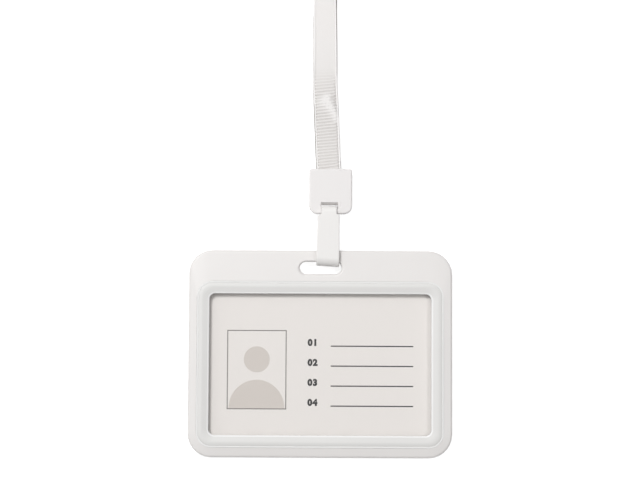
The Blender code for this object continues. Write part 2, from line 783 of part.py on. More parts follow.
def make_webbing_crimp(finish):
    """Folded band round both webbing ends, inside the connector."""
    centre_x = CONNECTOR_X - WEBBING_SHIFT
    half = WEBBING_WIDTH / 2 + GAP
    low = CAVITY_BACK_Z + GAP + CRIMP_WALL
    high = CAVITY_FRONT_Z - GAP - CRIMP_WALL
    start = CAVITY_LOW_Y + CRIMP_FROM_FLOOR
    points = []
    for y in (start, start + CRIMP_LENGTH):
        for wall in (0.0, CRIMP_WALL):
            points += [
                (centre_x - half - wall, y, low - wall),
                (centre_x + half + wall, y, low - wall),
                (centre_x + half + wall, y, high + wall),
                (centre_x - half - wall, y, high + wall),
            ]
    faces = []
    for step in range(4):
        after = (step + 1) % 4
        faces.append((step, 4 + step, 4 + after, after))
        faces.append((8 + step, 8 + after, 12 + after, 12 + step))
        faces.append((4 + step, 12 + step, 12 + after, 4 + after))
        faces.append((step, after, 8 + after, 8 + step))
    return add_mesh("webbing_crimp", points, faces, finish)


def smooth_route(route, steps):
    """Points of a smooth curve through a route, each with its roll."""
    found = []
    rows = [route[0]] + list(route) + [route[-1]]
    for index in range(1, len(rows) - 2):
        before, start, end, after = (Vector(rows[index + k]) for k in (-1, 0, 1, 2))
        for step in range(steps):
            t = step / steps
            found.append(
                0.5
                * (
                    2 * start
                    + (end - before) * t
                    + (2 * before - 5 * start + 4 * end - after) * t**2
                    + (3 * start - before - 3 * end + after) * t**3
                )
            )
    found.append(Vector(rows[-2]))
    return found


# Vectors of four numbers carry a place and its roll
def strap_stations(rows, half_width):
    """Width direction and face normal along a curve of places and rolls."""
    stations = []
    for index, row in enumerate(rows):
        before = rows[max(index - 1, 0)]
        after = rows[min(index + 1, len(rows) - 1)]
        along = Vector((after - before)[:3]).normalized()
        level = along.cross(Vector((0, 0, 1))).normalized()
        across = Matrix.Rotation(math.radians(row[3]), 3, along) @ level
        stations.append((Vector(row[:3]), across, along.cross(across), half_width))
    return stations


def make_leg(name, route, finish):
    """One leg of the webbing, from the crimp to the coil."""
    rows = smooth_route(route, LEG_STEPS_PER_SPAN)
    return ribbon(name, strap_stations(rows, WEBBING_WIDTH / 2), WEBBING_THICKNESS, finish)


def coil_arm(start_radius, turns):
    """Points of one arm of the coil, from outside in, counter-clockwise."""
    steps = max(int(round(turns * COIL_STEPS_PER_TURN)), 1)
    points = []
    for step in range(steps + 1):
        share = step / steps
        angle = math.radians(COIL_START_DEGREES + 360 * turns * share)
        radius = start_radius - 2 * COIL_PITCH * turns * share
        points.append((radius * math.cos(angle), radius * math.sin(angle)))
    return points


def half_turn(points):
    """Points from the inner end of an arm to the coil's centre, on a half circle."""
    end = Vector(points[-1])
    steps = COIL_STEPS_PER_TURN // 2
    centre = end / 2
    spoke = end - centre
    found = []
    for step in range(1, steps + 1):
        turned = Matrix.Rotation(math.pi * step / steps, 2) @ spoke
        found.append(tuple(centre + turned))
    return found


def coil_route():
    """The whole coil: the outer arm in, through the centre, and the inner arm out."""
    outer_radius = COIL_INNER_RADIUS + 2 * COIL_PITCH * COIL_OUTER_TURNS
    outer = coil_arm(outer_radius, COIL_OUTER_TURNS)
    inner = coil_arm(outer_radius - COIL_PITCH, COIL_OUTER_TURNS - 1 / 2)
    line = outer + half_turn(outer)[:-1] + [(0.0, 0.0)] + half_turn(inner)[:-1][::-1] + inner[::-1]
    height = WEBBING_WIDTH / 2
    return [
        Vector((COIL_CENTRE_X + x, COIL_CENTRE_Y + y, height, -90.0)) for x, y in line
    ]


def least_gap(rows, thickness):
    """Least distance between stretches of the webbing that aren't neighbours."""
    least = None
    for first in range(len(rows)):
        for second in range(first + 3, len(rows)):
            distance = (rows[first].xyz - rows[second].xyz).length
            if least is None or distance < least:
                least = distance
    return least - thickness


def make_webbing(finish):
    """Both legs and the coil of the neck loop, and a print of the lengths."""
    make_leg("webbing_back_leg", BACK_LEG_ROUTE, finish)
    make_leg("webbing_front_leg", FRONT_LEG_ROUTE, finish)
    rows = coil_route()
    ribbon("webbing_coil", strap_stations(rows, WEBBING_WIDTH / 2), WEBBING_THICKNESS, finish)

    def length(line):
        return sum((a.xyz - b.xyz).length for a, b in zip(line, line[1:]))

    back = smooth_route(BACK_LEG_ROUTE, LEG_STEPS_PER_SPAN)
    front = smooth_route(FRONT_LEG_ROUTE, LEG_STEPS_PER_SPAN)
    total = length(back) + length(front) + length(rows)
    print("webbing length", round(total, 4), "coil", round(length(rows), 4))
    print("least gap in the coil", round(least_gap(rows, WEBBING_THICKNESS), 5))
    for name, leg, end, nearer in (("back", back, rows[0], rows[1]), ("front", front, rows[-1], rows[-2])):
        aim = (nearer - end).xyz.normalized()
        print(name, "leg ends", tuple(round(v, 5) for v in leg[-1][:3]))
        print(name, "coil end", tuple(round(v, 5) for v in end[:3]), "heading", tuple(round(v, 3) for v in aim))


def build():
    for old in list(bpy.data.objects):
        bpy.data.objects.remove(old, do_unlink=True)
    white_abs = material("white_abs", 0.83, 0.81, 0.79, 0.35)
    grey_abs = material("pale_grey_abs", 0.72, 0.71, 0.70, 0.4)
    clear_sheet = material("clear_sheet", 0.95, 0.95, 0.95, 0.05, alpha=0.3)
    card_paper = material("printed_card", 0.76, 0.74, 0.71, 0.55)
    white_vinyl = material("white_vinyl", 0.87, 0.86, 0.84, 0.4)
    white_nylon = material("white_nylon", 0.85, 0.84, 0.82, 0.35)
    steel = material("plated_steel", 0.62, 0.61, 0.6, 0.3, metallic=1.0)
    white_polyester = material("white_polyester", 0.82, 0.81, 0.79, 0.8)

    make_connector(white_nylon)
    make_webbing_crimp(steel)
    make_webbing(white_polyester)

    cover = [make_rear_cover(white_abs), make_insert_card(card_paper)]
    holder = [make_front_shell(white_abs), make_window_bezel(grey_abs), make_clear_window(clear_sheet)]
    snap_cap, snap_socket = make_snap(white_nylon)
    strap_end = [make_strap_tail(white_vinyl), snap_cap]
    strap = [make_strap_band(white_vinyl), snap_socket]

    cover_slide = add_axis("cover_slide", (END_CAP_LEFT, WINDOW_CENTRE_Y, 0.0), cover)
    holder_tilt = add_axis(
        "holder_tilt", (STRAP_X, LOW_BEND_Y, LOW_BEND_Z), holder + [cover_slide]
    )
    strap_end_peel = add_axis(
        "strap_end_peel", (STRAP_X, TAIL_LOW_Y, TAIL_Z - STRAP_THICKNESS / 2), strap_end
    )
    add_axis("strap_swing", (STRAP_X, BAR_Y, BAR_Z), strap + [strap_end_peel, holder_tilt])


build()
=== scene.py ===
"""Looks of a landscape card holder on a lanyard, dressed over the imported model.

Metres, in the model's own frame: X runs along the holder, Y from the holder
to the lanyard and Z out of the window.
"""

import math

import bmesh
import bpy
from bpy.props import FloatProperty, FloatVectorProperty, IntProperty, PointerProperty, StringProperty
from mathutils import Matrix, Vector


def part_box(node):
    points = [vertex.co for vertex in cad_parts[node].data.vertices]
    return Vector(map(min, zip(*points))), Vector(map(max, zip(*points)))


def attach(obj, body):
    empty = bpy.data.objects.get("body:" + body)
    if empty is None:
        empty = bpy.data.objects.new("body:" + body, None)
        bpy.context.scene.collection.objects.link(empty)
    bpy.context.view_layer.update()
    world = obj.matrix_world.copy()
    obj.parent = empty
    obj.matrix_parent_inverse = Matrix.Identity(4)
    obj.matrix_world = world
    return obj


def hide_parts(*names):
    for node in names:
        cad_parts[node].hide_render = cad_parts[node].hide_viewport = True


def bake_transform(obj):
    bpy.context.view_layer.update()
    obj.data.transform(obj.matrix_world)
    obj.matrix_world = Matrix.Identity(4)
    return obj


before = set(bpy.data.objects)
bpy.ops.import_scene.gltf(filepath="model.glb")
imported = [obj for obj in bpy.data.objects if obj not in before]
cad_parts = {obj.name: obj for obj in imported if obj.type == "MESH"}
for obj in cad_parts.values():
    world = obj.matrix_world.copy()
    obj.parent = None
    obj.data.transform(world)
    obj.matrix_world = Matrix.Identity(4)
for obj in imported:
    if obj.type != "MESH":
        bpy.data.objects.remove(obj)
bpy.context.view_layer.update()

bl_info = {
    "name": "Card holder on a lanyard",
    "version": (1, 0, 0),
    "blender": (4, 5, 0),
    "location": "3D View > Sidebar > Card holder",
    "description": "Builds the finished pieces of a card holder on a lanyard and its studio",
    "category": "Add Mesh",
}

SHELL_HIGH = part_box("front_shell")[1]
BEZEL_LOW, BEZEL_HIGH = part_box("window_bezel")
CARD_LOW, CARD_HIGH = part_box("insert_card")
BAND_LOW, BAND_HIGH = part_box("strap_band")
TAIL_LOW, TAIL_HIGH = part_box("strap_tail")
CONNECTOR_LOW, CONNECTOR_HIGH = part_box("connector_front")

MILLIMETRE = 0.001

# The middles of the strap's neck and of its wide part, which hangs a little to the left
NECK_X = (BAND_LOW.x + BAND_HIGH.x) / 2
BAND_X = NECK_X - 0.27 * MILLIMETRE
BAND_HALF_WIDTH = (BAND_HIGH.x - BAND_LOW.x) / 2

# The photograph's frame, which the camera is worked out for
IMAGE_WIDTH_PIXELS = 640
PIXELS_PER_METRE = 2735.0

# Routes of the webbing's two legs, listed point by point: x, y, z and the roll in degrees
BACK_LEG_ROUTE = [
    (0.00330, 0.04350, 0.00301, 0.0),
    (0.00320, 0.04800, 0.00301, 0.0),
    (0.00272, 0.05300, 0.00298, 0.0),
    (0.00240, 0.05800, 0.00210, 0.0),
    (0.00216, 0.06400, 0.00098, 0.0),
    (0.00188, 0.07000, 0.00055, 0.0),
    (0.00158, 0.07700, 0.00056, 0.0),
    (0.00122, 0.08400, 0.00080, -4.0),
    (0.00110, 0.09150, 0.00122, -10.0),
    (0.00104, 0.09900, 0.00162, -15.0),
    (0.00108, 0.10700, 0.00184, -18.0),
    (0.00132, 0.11500, 0.00222, -23.0),
    (0.00170, 0.12300, 0.00295, -34.0),
    (0.00195, 0.13000, 0.00380, -48.0),
    (0.00195, 0.13700, 0.00450, -68.0),
    (0.00195, 0.14220, 0.00464, -90.0),
    (0.00283, 0.14811, 0.00462, -90.0),
    (0.00540, 0.15350, 0.00460, -90.0),
    (0.00944, 0.15790, 0.00458, -90.0),
    (0.01478, 0.16100, 0.00457, -90.0),
]
FRONT_LEG_ROUTE = [
    (0.00330, 0.04350, 0.00411, 0.0),
    (0.00320, 0.04800, 0.00411, 0.0),
    (0.00280, 0.05300, 0.00408, 0.0),
    (0.00252, 0.05800, 0.00335, 0.0),
    (0.00230, 0.06400, 0.00235, 0.0),
    (0.00202, 0.07000, 0.00198, 0.0),
    (0.00172, 0.07700, 0.00204, 0.0),
    (0.00132, 0.08400, 0.00222, -4.0),
    (0.00130, 0.09150, 0.00262, -10.0),
    (0.00132, 0.09900, 0.00300, -15.0),
    (0.00124, 0.10700, 0.00322, -18.0),
    (0.00118, 0.11500, 0.00356, -23.0),
    (0.00104, 0.12300, 0.00420, -34.0),
    (0.00062, 0.13000, 0.00480, -48.0),
    (-0.00050, 0.13700, 0.00512, -68.0),
    (-0.00140, 0.14220, 0.00470, -90.0),
    (-0.00037, 0.14909, 0.00464, -90.0),
    (0.00263, 0.15537, 0.00460, -90.0),
    (0.00733, 0.16050, 0.00458, -90.0),
    (0.01376, 0.16423, 0.00457, -90.0),
]
LEG_STEPS_PER_SPAN = 8
ON_EDGE = -90.0
HALF_TURN = 180.0
# Edges that turn by more than this are shown sharp
SHARP_DEGREES = 35

# The put-away webbing, as the model lays it
COIL_CENTRE = (0.0, 0.21)
COIL_START_DEGREES = -72.9
COIL_INNER_RADIUS = 0.043
COIL_PITCH = 0.0034
COIL_OUTER_TURNS = 1.2
COIL_STEPS_PER_TURN = 96


# Settings that a user would change


def metres(name, description, default):
    """A size in metres."""
    return FloatProperty(name=name, description=description, default=default, unit="LENGTH")


def metres_xyz(name, description, default):
    """A place in metres."""
    return FloatVectorProperty(name=name, description=description, default=default, unit="LENGTH")


def degrees(name, description, default):
    """An angle, whose default is given in degrees."""
    return FloatProperty(name=name, description=description, default=math.radians(default), subtype="ANGLE")


def watts(name, description, default):
    """The power of a lamp."""
    return FloatProperty(name=name, description=description, default=default, unit="POWER")


def factor(name, description, default):
    """A share of something whole."""
    return FloatProperty(name=name, description=description, default=default, subtype="FACTOR")


def hex_colour(name, description, default):
    """A colour as an sRGB hex value."""
    return StringProperty(name=name, description=description, default=default)


class HolderSettings(bpy.types.PropertyGroup):
    """Sizes of the window frame and the card's print."""

    window_lip_x: metres("Lip at the sides", "How far the frame covers the card's short sides", 0.0023)
    window_lip_y: metres("Lip above and below", "How far the frame covers the card's long sides", 0.00124)
    window_corner: metres("Window corner", "Radius of the window's corners", 0.0022)
    bezel_corner: metres("Frame corner", "Radius of the frame's outer corners", 0.0055)
    bezel_drop: metres("Frame slope", "How far the frame's face falls towards the window", 0.00036)
    frame_gap: metres("Frame gap", "Gap left between the frame and its pocket", 0.00004)
    edge_bevel: metres("Moulded edge", "Width of the soft edge that a mould leaves", 0.00012)
    pocket_bevel: metres("Pocket edge", "Width of the rounded edge round the frame's pocket", 0.0004)
    card_corner: metres("Card corner", "Radius of the card's corners", 0.00318)
    print_height: metres("Ink height", "How far the print stands on the card", 0.00002)
    ruled_lines: IntProperty(
        name="Ruled lines", description="How many lines the card has to write on", default=4, min=1,
    )
    line_pitch: metres("Line pitch", "Distance from one ruled line to the next", 0.00728)
    figure_height: metres("Figure height", "Height of the plain numbers beside the lines", 0.0023)


class LanyardSettings(bpy.types.PropertyGroup):
    """Sizes of the strap and the webbing."""

    strap_thickness: metres("Strap thickness", "Thickness of the vinyl strap", 0.0008)
    strap_neck: metres("Strap neck", "Width of the strap where it goes round the bar", 0.0055)
    webbing_width: metres("Webbing width", "Width across the selvedges", 0.0091)
    webbing_thickness: metres("Webbing thickness", "Thickness over the ribs", 0.0008)
    selvedge: metres("Selvedge", "Plain woven edge beside the ribs", 0.0007)
    rib_pitch: metres("Rib pitch", "Distance from one rib to the next", 0.00115)
    rib_lean: degrees("Rib lean", "Angle of the ribs to the webbing's width", -3.5)
    rib_sides: IntProperty(name="Rib sides", description="Faces round each rib", default=8, min=3)
    ribbed_length: metres("Ribbed length", "Length at each end before the ribs flatten out", 0.038)
    flat_rib: factor("Flat rib", "Share of a rib's height that is left where the weave is flat", 0.7)


class FinishSettings(bpy.types.PropertyGroup):
    """Colours of the finishes, and of the highlights and shade painted on the frame and the webbing."""

    shell_colour: hex_colour("Shell", "Satin ABS shell", "#eeebe9")
    bezel_colour: hex_colour("Frame", "Fine matt ABS frame", "#e6e5e3")
    # Colour of the highlight painted on the frame's inner edge and outer bead
    edge_highlight_colour: hex_colour("Frame edges", "Polished edges of the frame", "#ffffff")
    card_colour: hex_colour("Card", "Card stock", "#f1ece8")
    figure_colour: hex_colour("Portrait ink", "Pale ink", "#d8d0c9")
    outline_colour: hex_colour("Outline ink", "Grey ink", "#7f7b77")
    line_colour: hex_colour("Line ink", "Ruled lines", "#2a2725")
    text_colour: hex_colour("Figure ink", "Black ink", "#0e0d0c")
    strap_colour: hex_colour("Strap", "Vinyl strap", "#f3f1ef")
    connector_colour: hex_colour("Connector", "Moulded nylon", "#f1eeed")
    webbing_colour: hex_colour("Webbing", "Polyester yarn", "#f0edeb")
    # Painted highlight on the selvedge and on the pressed fold
    selvedge_highlight_colour: hex_colour("Selvedge", "Plain woven edge", "#fdfbfa")
    # Painted shade on the webbing's outer sides
    side_shade_colour: hex_colour("Webbing side", "Yarn at the side", "#a9a5a2")
    # Painted shade between the ribs
    groove_shade_colour: hex_colour("Groove", "Yarn between the ribs", "#dbd7d4")
    steel_colour: hex_colour("Crimp", "Plated steel", "#c2c2c4")


class StageSettings(bpy.types.PropertyGroup):
    """The studio: camera, lamps and floor."""

    camera_distance: metres("Camera distance", "From the camera to the holder", 0.75)
    camera_tilt: degrees("Camera tilt", "How far the camera leans towards the holder's lower edge", 5.0)
    camera_roll: degrees("Camera roll", "Turn of the picture", 0.3)
    view_centre: metres_xyz("View centre", "Where the camera looks", (-0.0003, 0.0265, 0.0055))
    key_place: metres_xyz("Key lamp", "Place of the main lamp", (-0.35, 0.47, 1.06))
    key_size: metres("Key size", "Side of the main lamp", 0.32)
    key_power: watts("Key power", "Power of the main lamp", 7.9)
    fill_place: metres_xyz("Fill lamp", "Place of the weak lamp", (0.62, 0.08, 1.03))
    fill_size: metres("Fill size", "Side of the weak lamp", 0.3)
    fill_power: watts("Fill power", "Power of the weak lamp", 1.9)
    sky_strength: FloatProperty(name="Sky", description="Light from all round", default=0.36)
    sky_lean: factor("Sky lean", "How much brighter the sky is on the left", 0.7)
    floor_share: factor("Floor glow", "Share of white that the floor shows in full shadow", 0.74)


def settings():
    """The settings that the operators read."""
    return bpy.context.scene.card_holder


# Colours and materials


def linear(text):
    """An sRGB hex colour as linear red, green, blue and a full alpha."""
    channels = []
    for start in (1, 3, 5):
        value = int(text[start:start + 2], 16) / 255
        channels.append(value / 12.92 if value <= 0.04045 else ((value + 0.055) / 1.055) ** 2.4)
    return (*channels, 1.0)


def set_node(node, choices, links=None):
    """Set a node's properties and sockets, then link outputs into it.

    A node among the links stands for its first output.
    """
    own = [key for key in choices if isinstance(key, str) and hasattr(node, key)]
    for key in own:
        setattr(node, key, choices[key])
    for key, value in choices.items():
        if key not in own:
            node.inputs[key].default_value = value
    for key, source in (links or {}).items():
        output = source.outputs[0] if isinstance(source, bpy.types.Node) else source
        node.id_data.links.new(output, node.inputs[key])
    return node


def add_node(tree, kind, choices=None, links=None):
    """Add a node with its settings and links."""
    return set_node(tree.nodes.new(kind), choices or {}, links)


def new_material(name):
    """A node material, its tree and its Principled shader."""
    made = bpy.data.materials.new(name)
    made.use_nodes = True
    return made, made.node_tree, made.node_tree.nodes["Principled BSDF"]


def surface_pattern(tree, size_mm, detail, roughness=0.5, stretch=None):
    """Fine variation with patches of a real size, drawn out where the stretch is small."""
    place = add_node(tree, "ShaderNodeTexCoord").outputs["Object"]
    if stretch:
        place = add_node(tree, "ShaderNodeMapping", {"Scale": stretch}, {0: place})
    return add_node(
        tree, "ShaderNodeTexNoise",
        {"Scale": 1 / (size_mm * MILLIMETRE), "Detail": detail, "Roughness": roughness},
        {"Vector": place},
    )


def dress_face(shader, colour, darkest, tone, relief=None, strength=0.0, depth_mm=0.0):
    """Let a pattern darken the colour, down to a share of it, and another one raise the face.

    The colour is an sRGB hex value. The shaded colour comes back.
    """
    base = linear(colour)
    shade = add_node(
        shader.id_data, "ShaderNodeMix",
        {"data_type": "RGBA", 6: (*(part * darkest for part in base[:3]), 1.0), 7: base}, {0: tone},
    )
    set_node(shader, {}, {"Base Color": shade.outputs[2]})
    if relief:
        bump = add_node(
            shader.id_data, "ShaderNodeBump", {"Strength": strength, "Distance": depth_mm * MILLIMETRE},
            {"Height": relief},
        )
        set_node(shader, {}, {"Normal": bump})
    return shade.outputs[2]


def moulded_plastic(name, colour, roughness, grain_mm, grain_depth_mm):
    """Injection-moulded plastic.

    The mould's grain breaks up the gloss, and slow flow marks shift the
    colour by a shade too small to name.
    """
    made, tree, shader = new_material(name)
    flow = surface_pattern(tree, 14, detail=3.0, roughness=0.55)
    grain = surface_pattern(tree, grain_mm, detail=2.0)
    dress_face(shader, colour, 0.97, flow, grain, strength=0.35, depth_mm=grain_depth_mm)
    gloss = add_node(
        tree, "ShaderNodeMapRange", {"To Min": roughness - 0.05, "To Max": roughness + 0.07},
        {"Value": grain},
    )
    set_node(shader, {"IOR": 1.53}, {"Roughness": gloss})
    return made


def paint_edge_highlights(finish, colour):
    """Paint a highlight on the frame's edges: they are drawn lighter, by the share in the attribute "edge".
    """
    tree = finish.node_tree
    socket = tree.nodes["Principled BSDF"].inputs["Base Color"]
    highlight_share = add_node(tree, "ShaderNodeAttribute", {"attribute_name": "edge"}).outputs["Fac"]
    lighter = add_node(
        tree, "ShaderNodeMix", {"data_type": "RGBA", 7: linear(colour)},
        {0: highlight_share, 6: socket.links[0].from_socket},
    )
    tree.links.new(lighter.outputs[2], socket)


def clear_sheet():
    """Clear rigid PVC: it only adds a little gloss and a faint veil over the card."""
    made, tree, shader = new_material("clear_rigid_pvc")
    wave = surface_pattern(tree, 30, detail=1.0)
    bump = add_node(
        tree, "ShaderNodeBump", {"Strength": 0.2, "Distance": 0.05 * MILLIMETRE}, {"Height": wave},
    )
    look = {"Base Color": linear("#f4f5f5"), "Roughness": 0.06, "IOR": 1.54, "Alpha": 0.03}
    set_node(shader, look, {"Normal": bump})
    return made


def paper_or_ink(name, colour, mottle, roughness):
    """Uncoated card stock, or ink on it: short fibres mottle the tone and roughen the face."""
    made, tree, shader = new_material(name)
    fibres = surface_pattern(tree, 0.5, detail=4.0, roughness=0.7)
    dress_face(shader, colour, 1 - mottle, fibres, fibres, strength=0.2, depth_mm=0.02)
    set_node(shader, {"Roughness": roughness})
    return made


def extruded_vinyl():
    """Extruded vinyl: smooth, a little waxy, with faint die lines along the strap."""
    made, tree, shader = new_material("extruded_white_vinyl")
    lines = surface_pattern(tree, 0.35, detail=2.0, stretch=(1.0, 0.04, 0.04))
    colour = settings().finish.strap_colour
    dress_face(shader, colour, 0.97, lines, lines, strength=0.3, depth_mm=0.02)
    set_node(shader, {"Roughness": 0.42, "IOR": 1.53})
    return made


def woven_polyester():
    """Woven polyester grosgrain: fine warp ends cross every rib, and the yarn has a soft sheen.

    The attribute "weave" holds the place across the webbing, the painted highlight
    on the selvedge and the fold as 1 and the painted shade on the side as -1, and
    how deep between the ribs a point lies, which sets the painted shade there.
    """
    made, tree, shader = new_material("woven_white_polyester")
    own = settings().finish
    weave = add_node(tree, "ShaderNodeAttribute", {"attribute_name": "weave"}).outputs["Vector"]
    across, selvedge, depth = add_node(tree, "ShaderNodeSeparateXYZ", {}, {0: weave}).outputs
    # Real warp ends stand 0.15 mm apart; twice that is the finest that shows
    phase = add_node(
        tree, "ShaderNodeMath", {"operation": "MULTIPLY", 1: 2 * math.pi / (0.3 * MILLIMETRE)}, {0: across},
    )
    ends = add_node(tree, "ShaderNodeMath", {"operation": "SINE"}, {0: phase})
    fuzz = surface_pattern(tree, 0.25, detail=3.0, roughness=0.65)
    height = add_node(tree, "ShaderNodeMath", {"operation": "MULTIPLY_ADD", 1: 0.5}, {0: ends, 2: fuzz})
    face = dress_face(shader, own.webbing_colour, 0.92, fuzz, height, strength=0.5, depth_mm=0.04)
    # Painted shade between the ribs: little light gets down there, less than the coarse yarn here keeps out
    rise = add_node(tree, "ShaderNodeAttribute", {"attribute_name": "rise"}).outputs["Fac"]
    ribbed = add_node(
        tree, "ShaderNodeMapRange", {"From Min": settings().lanyard.flat_rib}, {"Value": rise},
    )
    groove_shade = add_node(tree, "ShaderNodeMath", {"operation": "MULTIPLY"}, {0: ribbed, 1: depth})
    # The webbing's outer sides, marked -1, get painted shade
    side = add_node(tree, "ShaderNodeMath", {"operation": "MULTIPLY", 1: -1.0}, {0: selvedge})
    # The plain-woven selvedge and the pressed fold are drawn lighter than the ribs, a painted highlight
    for colour, amount in (
        (own.groove_shade_colour, groove_shade), (own.selvedge_highlight_colour, selvedge), (own.side_shade_colour, side),
    ):
        layer = add_node(
            tree, "ShaderNodeMix", {"data_type": "RGBA", 7: linear(colour)}, {0: amount, 6: face},
        )
        face = layer.outputs[2]
    look = {"Roughness": 0.75, "Sheen Weight": 0.25, "Sheen Roughness": 0.4}
    set_node(shader, look, {"Base Color": face})
    return made


def plated_steel():
    """Zinc-plated steel strip: rolled lines along it and a cold, even gloss."""
    made, tree, shader = new_material("plated_steel_strip")
    rolled = surface_pattern(tree, 0.12, detail=3.0, stretch=(0.05, 1.0, 1.0))
    dress_face(shader, settings().finish.steel_colour, 0.9, rolled)
    gloss = add_node(tree, "ShaderNodeMapRange", {"To Min": 0.25, "To Max": 0.42}, {"Value": rolled})
    set_node(shader, {"Metallic": 1.0}, {"Roughness": gloss})
    return made


# Meshes


def clamp(value):
    """The value, kept between 0 and 1."""
    return min(max(value, 0.0), 1.0)


def add_piece(name, mesh, finish):
    """An object at the origin that shows a mesh in one finish."""
    mesh.materials.clear()
    mesh.materials.append(finish)
    piece = bpy.data.objects.new(name, mesh)
    bpy.context.scene.collection.objects.link(piece)
    return piece


def finish_piece(piece, body, slot, *nodes):
    """Fix a piece to its body and hide the model nodes that it stands for. The slot for its finish is not
    used.
    """
    if nodes:
        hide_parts(*nodes)
    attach(piece, body)


def add_attribute(mesh, name, kind, values):
    """Give every point of a mesh a number or a vector."""
    data = mesh.attributes.new(name, kind, "POINT").data
    if kind == "FLOAT_VECTOR":
        data.foreach_set("vector", [part for value in values for part in value])
    else:
        data.foreach_set("value", values)


def smooth_edges(piece, bevel=0.0, angle_degrees=SHARP_DEGREES):
    """Soften a moulded piece's sharp edges and shade its faces evenly."""
    piece.data.shade_smooth()
    piece.data.set_sharp_from_angle(angle=math.radians(angle_degrees))
    if bevel:
        round_off = piece.modifiers.new("moulded_edges", "BEVEL")
        round_off.width = bevel
        round_off.segments = 3
        round_off.limit_method = "WEIGHT"
        round_off.harden_normals = True
    even = piece.modifiers.new("even_shading", "WEIGHTED_NORMAL")
    even.keep_sharp = True
    return piece


def show_node(node, name, finish, body, slot, bevel=0.0, rim_z=None, rim_bevel=0.0):
    """Make the piece for a model node: its shape with flat faces merged and edges softened.

    Sharp edges at the height rim_z get a wider bevel than the others.
    """
    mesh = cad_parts[node].data.copy()
    mesh.name = name
    widest = max(bevel, rim_bevel)
    near = 0.01 * MILLIMETRE
    work = bmesh.new()
    work.from_mesh(mesh)
    bmesh.ops.remove_doubles(work, verts=work.verts, dist=0.001 * MILLIMETRE)
    bmesh.ops.dissolve_limit(work, angle_limit=math.radians(0.5), verts=work.verts, edges=work.edges)
    if widest:
        weight = work.edges.layers.float.new("bevel_weight_edge")
        for edge in work.edges:
            if not edge.is_manifold or edge.calc_face_angle() < math.radians(SHARP_DEGREES):
                continue
            heights = [corner.co.z for corner in edge.verts]
            on_rim = rim_z is not None and all(abs(z - rim_z) < near for z in heights)
            edge[weight] = 1.0 if on_rim else bevel / widest
    work.to_mesh(mesh)
    work.free()
    for attribute in ("custom_normal", "sharp_face"):
        if attribute in mesh.attributes:
            mesh.attributes.remove(mesh.attributes[attribute])
    finish_piece(smooth_edges(add_piece(name, mesh, finish), widest), body, slot, node)


def arc(centre, half_width, height, start, sweep_degrees, steps):
    """Points along part of an ellipse, both ends included."""
    points = []
    for step in range(steps + 1):
        angle = math.radians(start + sweep_degrees * step / steps)
        points.append((centre[0] + half_width * math.cos(angle), centre[1] + height * math.sin(angle)))
    return points


def box_outline(left, right, low, high, corner, steps=12):
    """Points of a box with round corners, counter-clockwise from low left."""
    centres = [
        (left + corner, low + corner), (right - corner, low + corner),
        (right - corner, high - corner), (left + corner, high - corner),
    ]
    quarter = HALF_TURN / 2
    points = []
    for number, centre in enumerate(centres):
        points += arc(centre, corner, corner, HALF_TURN + quarter * number, quarter, steps)
    return points


def bar(left, right, low, high):
    """Corners of an upright rectangle."""
    return [(left, low), (right, low), (right, high), (left, high)]


def skin(name, rings, finish, closed=False):
    """A solid through rings of points: the last one joins the first, or both ends get a face."""
    count = len(rings[0])
    faces = []
    for level in range(len(rings) if closed else len(rings) - 1):
        base = level * count
        above = (level + 1) % len(rings) * count
        for step in range(count):
            after = (step + 1) % count
            faces.append((base + step, base + after, above + after, above + step))
    if not closed:
        faces.append(tuple(reversed(range(count))))
        faces.append(tuple(range((len(rings) - 1) * count, len(rings) * count)))
    mesh = bpy.data.meshes.new(name)
    mesh.from_pydata([point for ring in rings for point in ring], [], faces)
    return add_piece(name, mesh, finish)


def loft(name, levels, finish, closed=False):
    """A solid through outlines at given heights."""
    return skin(name, [[(x, y, z) for x, y in outline] for outline, z in levels], finish, closed)


def sweep(name, stations, profile, finish):
    """A strap: a profile of shares and heights carried along stations.

    Each station is its place, width direction, face normal and half width.
    """
    rings = [
        [place + across * (half_width * share) + normal * height for share, height in profile]
        for place, across, normal, half_width in stations
    ]
    return skin(name, rings, finish)


# Geometry nodes


def node_group(name, **inputs):
    """A geometry tree, its named inputs and their identifiers."""
    tree = bpy.data.node_groups.new(name, "GeometryNodeTree")
    face = tree.interface
    face.new_socket("Geometry", in_out="INPUT", socket_type="NodeSocketGeometry")
    face.new_socket("Geometry", in_out="OUTPUT", socket_type="NodeSocketGeometry")
    names = {}
    for key, kind in inputs.items():
        names[key] = face.new_socket(key, in_out="INPUT", socket_type=f"NodeSocket{kind}").identifier
    return tree, add_node(tree, "NodeGroupInput").outputs, names


def end_group(tree, instances, finish):
    """End a geometry tree: make its instances real and give them their material."""
    real = add_node(tree, "GeometryNodeRealizeInstances", {}, {"Geometry": instances})
    dressed = add_node(tree, "GeometryNodeSetMaterial", {}, {"Geometry": real, "Material": finish})
    add_node(tree, "NodeGroupOutput", {}, {0: dressed})


def evaluated_mesh(piece):
    """The mesh that a piece's modifiers or letters come to."""
    bpy.context.view_layer.update()
    shown = piece.evaluated_get(bpy.context.evaluated_depsgraph_get())
    return bpy.data.meshes.new_from_object(shown)


def grow(piece, tree, names, values):
    """Run a geometry tree on a piece and keep the result as its plain mesh."""
    growth = piece.modifiers.new(tree.name, "NODES")
    growth.node_group = tree
    for key, value in values.items():
        growth[names[key]] = value
    mesh = evaluated_mesh(piece)
    mesh.name = piece.name
    piece.modifiers.clear()
    piece.data = mesh


# Window frame and card


def window_outline(margin, corner):
    """An outline that stands a margin outside the window."""
    holder = settings().holder
    return box_outline(
        CARD_LOW.x + holder.window_lip_x - margin,
        CARD_HIGH.x - holder.window_lip_x + margin,
        CARD_LOW.y + holder.window_lip_y - margin,
        CARD_HIGH.y - holder.window_lip_y + margin,
        corner,
    )


